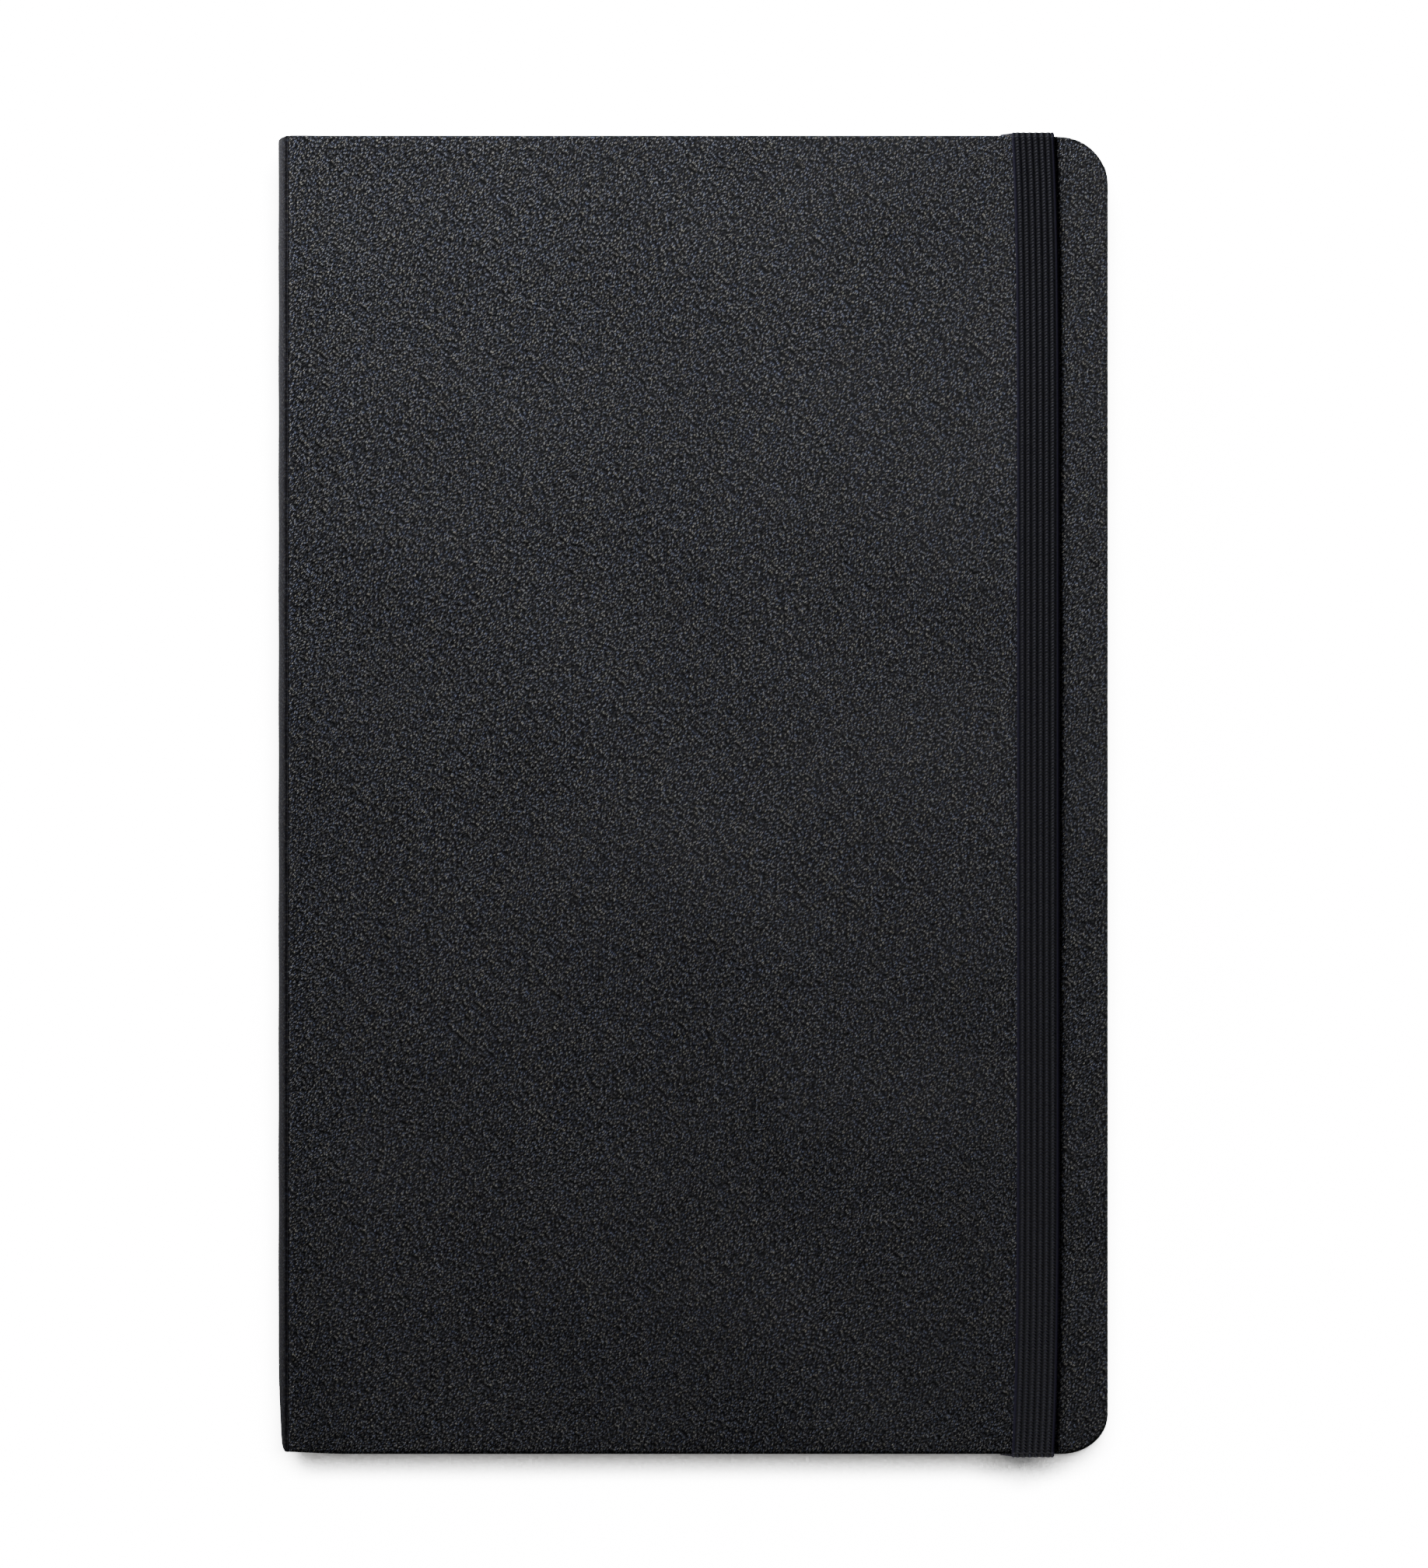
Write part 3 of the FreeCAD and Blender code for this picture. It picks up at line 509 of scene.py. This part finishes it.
def cover_leather(name, face_z, up, body, node):
    """Leather drawn over one board, its edges rolled over and its border turned in behind."""
    loop, xs, ys = cover_loop()
    nx, ny = len(xs) - 1, len(ys) - 1
    out, inner = loop[:, :2], loop[:, 2:]
    count = len(loop)
    sign = 1 if up else -1
    # inset, height below the face, and the inset that the leather's own length amounts to
    rings = [(d, 0.0, d) for d in FACE_INSETS]
    walked = FACE_INSETS[-1]
    last = (walked, 0.0)
    for d, drop in EDGE_ROLL:
        walked -= math.hypot(d - last[0], drop - last[1])
        rings.append((d, drop, walked))
        last = (d, drop)
    verts, uvs = [], []

    def height(x, y, drop, from_edge):
        """Z of the leather, given its height below the face and its distance from the edge."""
        fade = np.clip(drop / FACE_FADE, 0, 1)
        face = crease_drop(x - SPINE_X)
        if not up:
            face = face + channel_drop(x, y)
        ends = 1 - smoothstep(0, 9 * MM, HALF_Y - np.abs(y))
        sag = 0.05 * MM * ripple(x, y) * smoothstep(0.2 * MM, 12 * MM, from_edge)
        soft = 0.10 * MM * (1 - smoothstep(0.3 * MM, 3.5 * MM, from_edge)) ** 2
        z = face + soft - sag * (1 - 0.5 * ends)
        return face_z - sign * (z * (1 - fade) + drop + 0.3 * face * fade)

    for d, drop, walk in rings:
        p = out + (inner - out) * (d * MM / FRAME_W)
        w = out + (inner - out) * (walk * MM / FRAME_W)
        edge = np.full(count, d * MM)
        z = height(p[:, 0], p[:, 1], drop * MM, edge)
        for i in range(count):
            verts.append((p[i, 0], p[i, 1], z[i]))
            uvs.append((w[i, 0], w[i, 1]))
    faces = []
    for k in range(len(rings) - 1):
        for i in range(count):
            j = (i + 1) % count
            faces.append((k * count + i, k * count + j, (k + 1) * count + j, (k + 1) * count + i))
    # Fill the inner rectangle of the outer face and of the turned-in side.
    for ring, drop in ((0, 0.0), (len(rings) - 1, EDGE_ROLL[-1][1])):
        grid = {}
        for b in range(ny + 1):
            for a in range(nx + 1):
                if 0 < a < nx and 0 < b < ny:
                    x, y = xs[a], ys[b]
                    from_edge = min(x - PANEL_X, FORE_X - x, HALF_Y - abs(y))
                    z = float(height(x, y, drop * MM, from_edge))
                    grid[a, b] = len(verts)
                    verts.append((x, y, z))
                    uvs.append((x, y))
        rim = {}
        for i in range(count):
            a = int(np.argmin(np.abs(xs - loop[i, 2])))
            b = int(np.argmin(np.abs(ys - loop[i, 3])))
            rim.setdefault((a, b), ring * count + i)
        grid.update(rim)
        for b in range(ny):
            for a in range(nx):
                quad = [grid[a, b], grid[a + 1, b], grid[a + 1, b + 1], grid[a, b + 1]]
                faces.append(tuple(quad if drop == 0 else quad[::-1]))
    if not up:
        faces = [f[::-1] for f in faces]
    obj = make_mesh(name, verts, faces, LEATHER_LOOK, uvs)
    recalculate(obj, merge=1e-7)
    place_piece(obj, body, node)


cover_leather("front_cover_leather", THICK, True, "front_cover", "front_cover_skin")
cover_leather("back_cover_leather", 0.0, False, "back_cover", "back_cover_skin")


# ---------------------------------------------------------------- spine
# From the joint to the swell, in mm: distance from the outermost line of the covers, and height.
SHOULDER = (
    (1.72, 13.30), (1.66, 13.04), (1.58, 12.88), (1.48, 12.80), (1.38, 12.84), (1.28, 12.93),
    (1.17, 12.97), (1.06, 12.94), (0.94, 12.83), (0.81, 12.62), (0.67, 12.33), (0.53, 11.98),
    (0.40, 11.58), (0.28, 11.14), (0.17, 10.66), (0.075, 10.15), (0.0, 9.65), (-0.06, 9.2),
    (-0.10, 8.85), (-0.115, 8.6),
)
SHOULDER_END_D, SHOULDER_END_Z = SHOULDER[-1]
SWELL_TIP_D = -0.13
SHOULDER_LENGTH = 6.4 * MM  # along the leather, for its grain
SPINE_LEATHER, SPINE_THINNEST = 0.5 * MM, 0.12 * MM
SPINE_WAVE = 0.02 * MM
END_ROLL, END_ROLL_R = 0.30, 0.35  # how far the ends roll in, and over what length, mm
# Rings along the spine, closer together where its ends roll in, mm.
SPINE_END_YS = [-105.0, -104.97, -104.86, -104.68, -104.4, -104.0, -103.4, -102.6, -101.5,
                -100, -98, -96, -93.5]
SPINE_YS = SPINE_END_YS + list(np.linspace(-90, 90, 61)) + [-v for v in SPINE_END_YS[::-1]]
TAIL_SHORTER = 0.28  # how much further in than the covers the spine ends at the tail, mm


def spine_profile(part):
    """Outer line of the spine leather seen from the tail, as x and z."""
    if part == "middle":
        mid = MID_Z / MM
        half = SHOULDER_END_Z - mid
        bulge = SHOULDER_END_D - SWELL_TIP_D
        return np.array([(SPINE_X + (SWELL_TIP_D + bulge * ((z - mid) / half) ** 2) * MM, z * MM)
                         for z in np.linspace(mid + half, mid - half, 13)])
    points = [(SPINE_X + d * MM, z * MM) for d, z in SHOULDER]
    if part == "rear":
        points = [(x, THICK - z) for x, z in points]
    return np.array(points)


def spine_leather(name, part, node):
    """One strip of the spine's leather."""
    line = spine_profile(part)
    walked = np.concatenate([[0], np.cumsum(np.hypot(*np.diff(line, axis=0).T))])
    if part == "middle":
        walked = walked + SHOULDER_LENGTH
    tangent = np.gradient(line, axis=0)
    tangent /= np.linalg.norm(tangent, axis=1)[:, None]
    inward = np.stack([tangent[:, 1], -tangent[:, 0]], axis=1)
    toward = np.array([ARC_X, MID_Z]) - line
    inward *= np.sign((inward * toward).sum(1))[:, None]
    sections, uvs = [], []
    for y in SPINE_YS:
        end_in = HALF_Y / MM - abs(y)
        turn = max(0.0, 1 - end_in / END_ROLL_R)
        roll = END_ROLL * (1 - math.sqrt(max(0.0, 1 - turn ** 2)))
        on_edge = 1 - smoothstep(0.9 * MM, 2.2 * MM, line[:, 0] - SPINE_X)
        pull = float(spine_pull(y * MM)) * on_edge
        outer = line + inward * (roll * MM)
        outer[:, 0] = np.maximum(outer[:, 0], SPINE_X + pull + roll * MM * 0.5)
        wave = SPINE_WAVE * np.sin(y * 0.35 + line[:, 1] / MM * 0.6)
        outer = outer + inward * wave[:, None]
        inner = line + inward * (SPINE_LEATHER - roll * 0.4 * MM)
        inner[:, 0] = np.maximum(inner[:, 0], outer[:, 0] + SPINE_THINNEST)
        along = (y + TAIL_SHORTER * (1 - float(smoothstep(-105, -99, y)))) * MM
        sections.append([(x, along, z) for x, z in outer] + [(x, along, z) for x, z in inner[::-1]])
        u = [(PANEL_X - w, y * MM) for w in walked]
        uvs += u + u[::-1]
    obj = loft(name, [sections], LEATHER_LOOK, uvs)
    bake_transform(obj)
    if node:
        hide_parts(node)


spine_leather("spine_leather_front", "front", "spine_skin_front")
spine_leather("spine_leather_rear", "rear", "spine_skin_rear")
spine_leather("spine_leather_middle", "middle", None)


# ---------------------------------------------------------------- elastic
RIBS = np.array([0.19, 0.99, 1.86, 2.92, 3.90, 4.90, 5.84, 6.55]) - BAND_HALF
RIB_SHAPE, EDGE_RIB_SHAPE = (0.36, 0.08), (0.26, 0.09)  # half width and height
BAND_EDGE_R = 0.35
BAND_EDGE, BAND_BODY = 0.16, 0.27  # height of its very edge, and what the middle adds
BAND_BOW = 0.85 * MM  # how far the run leans to the spine at its ends
BAND_TOP = THICK + 0.03 * MM
BAND_LOW = 0.58 * MM
BAND_BEND_R = 0.03 * MM
BAND_SQUEEZE = 0.88  # the stretched wraps are thinner
RETURN_TURN_Y = CHANNEL_END + 1.2 * MM
RETURN_TURN_R = 0.5 * MM


def band_section():
    """Across the elastic: offset from its middle, and its upper and lower surfaces."""
    xs = np.linspace(-BAND_HALF, BAND_HALF, 69)
    ribs = np.zeros_like(xs)
    for k, r in enumerate(RIBS):
        width, lift = EDGE_RIB_SHAPE if k in (0, len(RIBS) - 1) else RIB_SHAPE
        ribs = np.maximum(ribs, lift * np.sqrt(np.clip(1 - ((xs - r) / width) ** 2, 0, 1)))
    into_edge = np.clip(np.abs(xs) - (BAND_HALF - BAND_EDGE_R), 0, BAND_EDGE_R) / BAND_EDGE_R
    round_off = np.sqrt(np.clip(1 - into_edge ** 2, 0, 1))
    upper = BAND_EDGE + (BAND_BODY + ribs) * round_off
    lower = BAND_EDGE * (1 - round_off)
    return xs * MM, upper * MM, lower * MM


def band_along(name, path, normals, centres, walked, squeeze=None):
    """The elastic laid along a path in the YZ plane."""
    xs, upper, lower = band_section()
    sections, uvs = [], []
    for k, ((y, z), (ny, nz), cx) in enumerate(zip(path, normals, centres)):
        share = 1.0 if squeeze is None else squeeze[k]
        ring = [(cx + x, y + ny * t * share, z + nz * t * share)
                for x, t in list(zip(xs, upper)) + list(zip(xs[::-1], lower[::-1]))]
        sections.append(ring)
        u = [(x, walked[k]) for x in xs]
        uvs += u + u[::-1]
    return loft(name, [sections], ELASTIC_LOOK, uvs)


def band_centre(y):
    """The elastic bows toward the spine near the head and the tail."""
    return BAND_X - BAND_BOW * (np.abs(np.asarray(y)) / HALF_Y) ** 7


def slacken(piece):
    """Gives the elastic piece a mesh of its own."""
    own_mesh(piece)


def elastic_front():
    """The run over the front, with the rings closer together where it bows."""
    ys = np.concatenate([np.linspace(-105, -96, 19), np.linspace(-95, 95, 120),
                         np.linspace(96, 105, 19)]) * MM
    run = band_along("elastic_front", [(y, BAND_TOP) for y in ys], [(0, 1)] * len(ys),
                     band_centre(ys), ys)
    place_piece(run, "elastic_band", "elastic_front_run")
    slacken(run)


def elastic_wrap(side, place):
    """The elastic going down round the head (+1) or tail (-1) edges of the book."""
    high_z, low_z = BAND_TOP - BAND_BEND_R, BAND_LOW + BAND_BEND_R
    path, normals = [], []

    def bend(centre_z, first, last):
        for a in np.radians(np.linspace(first, last, 8)):
            c, s = math.cos(a), math.sin(a)
            path.append((side * (HALF_Y + BAND_BEND_R * c), centre_z + BAND_BEND_R * s))
            normals.append((side * c, s))

    bend(high_z, 90, 0)
    for z in np.linspace(high_z, low_z, 14)[1:-1]:
        path.append((side * (HALF_Y + BAND_BEND_R), z))
        normals.append((side, 0.0))
    bend(low_z, 0, -90)
    walked = [side * HALF_Y]
    for (y0, z0), (y1, z1) in zip(path, path[1:]):
        walked.append(walked[-1] + side * math.hypot(y1 - y0, z1 - z0))
    zs = np.array([z for _, z in path])
    front_x = band_centre(HALF_Y)
    centres = front_x + (BAND_REAR_X - front_x) * smoothstep(0, 1, (high_z - zs) / (high_z - low_z))
    squeeze = np.interp(zs, [low_z, low_z + MM, high_z - MM, high_z],
                        [1, BAND_SQUEEZE, BAND_SQUEEZE, 1])
    wrap = band_along("elastic_wrap_" + place, path, normals, centres, walked, squeeze)
    place_piece(wrap, "elastic_band", "elastic_%s_wrap" % place)
    slacken(wrap)


def elastic_return(side, place):
    """The elastic behind the back cover, as far as the turn into its slit."""
    path = [(side * y, BAND_LOW) for y in np.linspace(HALF_Y - BAND_BEND_R, RETURN_TURN_Y, 30)]
    normals = [(0.0, -1.0)] * len(path)
    for a in np.radians(np.linspace(0, 60, 7)[1:]):
        c, s = math.cos(a), math.sin(a)
        path.append((side * (RETURN_TURN_Y - RETURN_TURN_R * s),
                     BAND_LOW + RETURN_TURN_R * (1 - c)))
        normals.append((-side * s, -c))
    steps = [math.hypot(b[0] - a[0], b[1] - a[1]) for a, b in zip(path, path[1:])]
    walked = np.concatenate([[0], np.cumsum(steps)])
    fixed_end = band_along("elastic_return_" + place, path, normals,
                           [BAND_REAR_X] * len(path), walked)
    place_piece(fixed_end, "back_cover", "elastic_%s_return" % place)


elastic_front()
for side, place in ((1, "head"), (-1, "tail")):
    elastic_wrap(side, place)
    elastic_return(side, place)


# ---------------------------------------------------------------- text block
PAGE_X = 64.6 * MM
PAGE_HALF = 103.5 * MM
PAGE_CORNER = 6.5 * MM
LEAF = 0.15 * MM
LEAF_PITCH = 0.16 * MM
SHEETS = 4
SIGNATURES = 8
FOLD_R = LEAF_PITCH * SHEETS
TRIM = (-0.07, 0.05)  # how unevenly the leaves end, mm
TRIM_TALLER = 4.0  # share by which a sheet grows in height for each metre of its trim
PAGE_WAVE = 0.03 * MM


def stations(half, corner, steps):
    """Places along Y, closer together round the corners."""
    turn = corner * (1 - np.cos(np.linspace(0, math.pi / 2, 11)))
    return np.concatenate([-half + turn, np.linspace(-half + corner, half - corner, steps)[1:-1],
                           half - turn[::-1]])


def corner_inset(y, half, corner):
    """How far a rounded corner draws a sheet's side in, at this place along Y."""
    past = max(0.0, abs(y) - (half - corner))
    return corner - math.sqrt(max(corner ** 2 - past ** 2, 0))


def folded_sheet(fold_x, centre_z, outer, ends):
    """One folded sheet as closed rings in XZ, stacked along Y. ends are its two leaves' trims."""
    sections = []
    for y in stations(PAGE_HALF, PAGE_CORNER, 33):
        rights = [PAGE_X + end - corner_inset(y, PAGE_HALF, PAGE_CORNER) for end in ends]
        ring = []
        for radius, order in ((outer, 1), (outer - LEAF, -1)):
            low = [(x, centre_z - radius) for x in np.linspace(rights[0], fold_x, 9)]
            bend = [(fold_x - radius * math.sin(a), centre_z - radius * math.cos(a))
                    for a in np.linspace(0, math.pi, 9)[1:-1]]
            high = [(x, centre_z + radius) for x in np.linspace(fold_x, rights[1], 9)]
            ring += (low + bend + high)[::order]
        wave = PAGE_WAVE * math.sin(y / MM * 0.11 + centre_z / MM * 1.7)
        taller = 1 + ends[0] * TRIM_TALLER
        sections.append([(x + (wave if x > 0 else 0.0), y * taller, z) for x, z in ring])
    return sections


for number in range(1, SIGNATURES + 1):
    node = "signature_%d" % number
    low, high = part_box(node)
    centre_z = (low.z + high.z) / 2
    fold_x = low.x + FOLD_R
    groups = []
    for sheet_number in range(SHEETS):
        ends = [rng.uniform(*TRIM) * MM for _ in range(2)]
        groups.append(folded_sheet(fold_x, centre_z, FOLD_R - LEAF_PITCH * sheet_number, ends))
    block = loft(node + "_sheets", groups, DRAWING_LOOK)
    body = "front_block" if number <= SIGNATURES / 2 else "text_block"
    place_piece(block, body, node)


def flat_leaf(name, low, high, corner, look, relief=None, face_down=False, spine_corner=0.0):
    """A sheet or card filling a box, with rounded fore corners; relief moves its open face."""
    half = high.y
    back_z, face_z = (high.z, low.z) if face_down else (low.z, high.z)
    sections = []
    for y in stations(half, corner, 61):
        near = low.x + corner_inset(y, half, spine_corner)
        far = high.x - corner_inset(y, half, corner)
        xs = near + (far - near) * np.linspace(0, 1, 49)
        face = [(x, y, face_z if relief is None else face_z + relief(x, y)) for x in xs]
        sections.append(face + [(x, y, back_z) for x in xs[::-1]])
    return loft(name, [sections], look)


for place, body in (("front", "front_block"), ("back", "text_block")):
    node = place + "_flyleaf"
    leaf = flat_leaf(node + "_sheet", *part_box(node), PAGE_CORNER, ENDPAPER_LOOK)
    place_piece(leaf, body, node)


TURN_IN = 14.0 * MM
TURN_IN_SOFTNESS = 0.6 * MM
TURN_IN_STEP = 0.05 * MM
PASTEDOWN_CORNER = 5.0 * MM


def turn_in_sink(x, y):
    """How far the pasted sheet sinks inside the leather's turned-in border."""
    from_edge = min(FORE_X - x, HALF_Y - abs(y))
    return TURN_IN_STEP * float(smoothstep(TURN_IN - TURN_IN_SOFTNESS, TURN_IN + TURN_IN_SOFTNESS,
                                           from_edge))


for place, face_down in (("front", True), ("back", False)):
    node = place + "_pastedown"
    inward = 1 if face_down else -1
    sheet = flat_leaf(node + "_sheet", *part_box(node), PASTEDOWN_CORNER, ENDPAPER_LOOK,
                      lambda x, y: inward * turn_in_sink(x, y), face_down)
    place_piece(sheet, place + "_cover", node)


# ---------------------------------------------------------------- pocket
CARD_CORNER = 4.0 * MM
CARD_WAVE = 0.02 * MM
STRIP_CORNER = 0.6 * MM
STRIP_WAVE = 0.03 * MM
STRIP_START_X = 53.6 * MM
GUSSET_CLOTH = 0.055 * MM
GUSSET_CLEARANCE = 0.01 * MM


def card_wave(x, y):
    return -CARD_WAVE * (1 + math.sin(x / MM * 0.05) * math.cos(y / MM * 0.04))


def strip_wave(x, y):
    return -STRIP_WAVE * (1 - math.cos((x - STRIP_START_X) / MM * 1.2))


card = flat_leaf("pocket_panel_card", *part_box("pocket_panel"), CARD_CORNER, CARD_LOOK, card_wave)
place_piece(card, "pocket_flap", "pocket_panel")
strip = flat_leaf("pocket_hinge_cloth", *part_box("pocket_hinge_strip"), STRIP_CORNER, CLOTH_LOOK,
                  strip_wave, spine_corner=STRIP_CORNER)
place_piece(strip, "back_cover", "pocket_hinge_strip")


def cloth_leg(start, end):
    """Eight points from one corner of the folded cloth to the next, as Y and Z."""
    return [(start[0] + (end[0] - start[0]) * t, start[1] + (end[1] - start[1]) * t)
            for t in np.linspace(0, 1, 8)]


for place, side in (("head", 1), ("tail", -1)):
    node = "pocket_gusset_" + place
    low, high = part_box(node)
    outer_y, inner_y = (high.y, low.y) if side > 0 else (low.y, high.y)
    bottom, top = low.z + GUSSET_CLEARANCE, high.z - GUSSET_CLEARANCE
    middle = (low.z + high.z) / 2
    gap = GUSSET_CLOTH * 0.1
    outline = (cloth_leg((outer_y, bottom), (inner_y, middle - GUSSET_CLOTH / 2))
               + cloth_leg((inner_y, middle + GUSSET_CLOTH / 2), (outer_y, top))
               + cloth_leg((outer_y, top - GUSSET_CLOTH), (inner_y, middle + gap))[:-1]
               + cloth_leg((inner_y, middle - gap), (outer_y, bottom + GUSSET_CLOTH))[1:])
    sections = [[(x, y, z) for y, z in outline] for x in np.linspace(low.x, high.x, 41)]
    gusset = loft(node + "_cloth", [sections], CLOTH_LOOK)
    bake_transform(gusset)
    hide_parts(node)


# ---------------------------------------------------------------- pieces kept as drawn in CAD
KEPT = {
    BOARD_LOOK: ["front_cover_board", "back_cover_board"],
    LINING_LOOK: ["front_cover_infill", "back_cover_infill",
                  "spine_liner_front", "spine_liner_rear"],
    MULL_LOOK: ["spine_mull_front", "spine_mull_rear"],
    THREAD_LOOK: ["sewing_thread_front", "sewing_thread_rear"],
}
for look, names in KEPT.items():
    for name in names:
        for material_slot in frame["nodes"][name].material_slots:
            material_slot.material = look


# ---------------------------------------------------------------- floor, light, camera
FLOOR_Z = -0.2 * MM
FLOOR_HALF = 3.0
WHITE = 16.0  # the floor's and the sky's brightness to the camera, well past white
SHADE_REACH = 7.5 * MM
FLOOR_GLOW = 0.08
SKY_LIGHT = 0.035


def floor_plane(name, z):
    corners = [(x * FLOOR_HALF, y * FLOOR_HALF, z) for x, y in ((-1, -1), (1, -1), (1, 1), (-1, 1))]
    mesh = bpy.data.meshes.new(name)
    mesh.from_pydata(corners, [], [(0, 1, 2, 3)])
    plane = bpy.data.objects.new(name, mesh)
    bpy.context.scene.collection.objects.link(plane)
    return plane


def floor_material():
    """A pale floor, overexposed to white, with a painted soft shadow: ambient occlusion leaned
    toward the key dims its glow to the camera.
    """
    n = Nodes("floor_white")
    lean = n.node("CombineXYZ", X=0.0, Y=0.96, Z=0.28).outputs[0]
    shade = n.node("AmbientOcclusion", {"samples": 16}, Distance=SHADE_REACH,
                   Normal=lean).outputs["AO"]
    seen = n.tree.nodes.new("ShaderNodeLightPath").outputs["Is Camera Ray"]
    # Painted shadow: the glow to the camera fades where the leaned occlusion finds the book.
    opened = n.math("POWER", n.ramp(shade, 0.03, 0.52), 2.6)
    glow_with_painted_shadow = n.math("ADD", 0.12, n.math("MULTIPLY", WHITE, opened))
    unseen = n.math("MULTIPLY", n.math("SUBTRACT", 1.0, seen), FLOOR_GLOW)
    return n.set(Base_Color=(0.8, 0.8, 0.8, 1), Roughness=0.9, Specular_IOR_Level=0.0,
                 Emission_Color=(1, 1, 1, 1),
                 Emission_Strength=n.math("ADD", n.math("MULTIPLY", seen, glow_with_painted_shadow), unseen))


def area_light(name, place, target, size, power, colour=(1, 1, 1)):
    data = bpy.data.lights.new(name, "AREA")
    data.shape = "RECTANGLE"
    data.size, data.size_y = size
    data.energy = power
    data.color = colour
    obj = bpy.data.objects.new(name, data)
    obj.location = place
    obj.rotation_mode = "QUATERNION"
    obj.rotation_quaternion = (Vector(target) - Vector(place)).to_track_quat("-Z", "Y")
    bpy.context.scene.collection.objects.link(obj)
    return obj


def pieces_with(name, looks):
    """A collection of the pieces in these materials, for lights that reach nothing else."""
    group = bpy.data.collections.new(name)
    for obj in bpy.data.objects:
        if obj.type == "MESH" and obj.data.materials and obj.data.materials[0] in looks:
            group.objects.link(obj)
    return group


def studio_world():
    """A dim even sky, which only the camera sees as white."""
    world = bpy.data.worlds.new("studio")
    world.use_nodes = True
    nodes, links = world.node_tree.nodes, world.node_tree.links
    background = nodes["Background"]
    background.inputs["Color"].default_value = (1, 1, 1, 1)
    brightness = nodes.new("ShaderNodeMath")
    brightness.operation = "MULTIPLY_ADD"
    brightness.inputs[1].default_value = WHITE
    brightness.inputs[2].default_value = SKY_LIGHT
    links.new(nodes.new("ShaderNodeLightPath").outputs["Is Camera Ray"], brightness.inputs[0])
    links.new(brightness.outputs[0], background.inputs["Strength"])
    return world


floor = floor_plane("floor", FLOOR_Z)
floor.data.materials.append(floor_material())
# Keeps anything lower than the floor out of its shading.
floor_plane("floor_underlay", FLOOR_Z - 0.05 * MM)

area_light("key", (-0.20, 0.39, 0.17), (0, 0.04, 0), (0.20, 0.12), 3.25, (0.95, 0.965, 1.02))
area_light("fill", (-0.9, -0.1, 0.7), (0, 0, 0), (0.5, 0.7), 0.35)

# Low lights that reach only the paper, so that the page edges show from the side.
pale_pieces = pieces_with("pale_pieces", (DRAWING_LOOK, ENDPAPER_LOOK, CARD_LOOK))
for name, place, power in (("low_tail", (0.25, -1.1, 0.12), 9.0),
                           ("low_fore", (1.1, 0.15, 0.12), 9.0),
                           ("low_head", (-0.3, 1.1, 0.12), 6.0)):
    low_light = area_light(name, place, (0, 0, 0.01), (0.9, 0.2), power)
    low_light.light_linking.receiver_collection = pale_pieces

# One more reaches only the elastic, which is as bright at the tail as at the head.
band_light = area_light("elastic_low", (0.02, -0.42, 0.20), (0.055, -0.10, 0), (0.3, 0.12), 1.35)
band_light.light_linking.receiver_collection = pieces_with("elastic_pieces", (ELASTIC_LOOK,))

bpy.context.scene.world = studio_world()

CAMERA_HEIGHT = 4.0
CAMERA_SPOT = (3.36 * MM, 1.71 * MM)
VIEW_WIDTH = 0.2497  # metres across, at the height of the cover
SENSOR = 36.0
camera_data = bpy.data.cameras.new("camera")
camera_data.sensor_width = SENSOR
camera_data.lens = SENSOR * CAMERA_HEIGHT / VIEW_WIDTH
camera = bpy.data.objects.new("camera", camera_data)
camera.location = (*CAMERA_SPOT, CAMERA_HEIGHT + THICK)
bpy.context.scene.collection.objects.link(camera)
bpy.context.scene.camera = camera
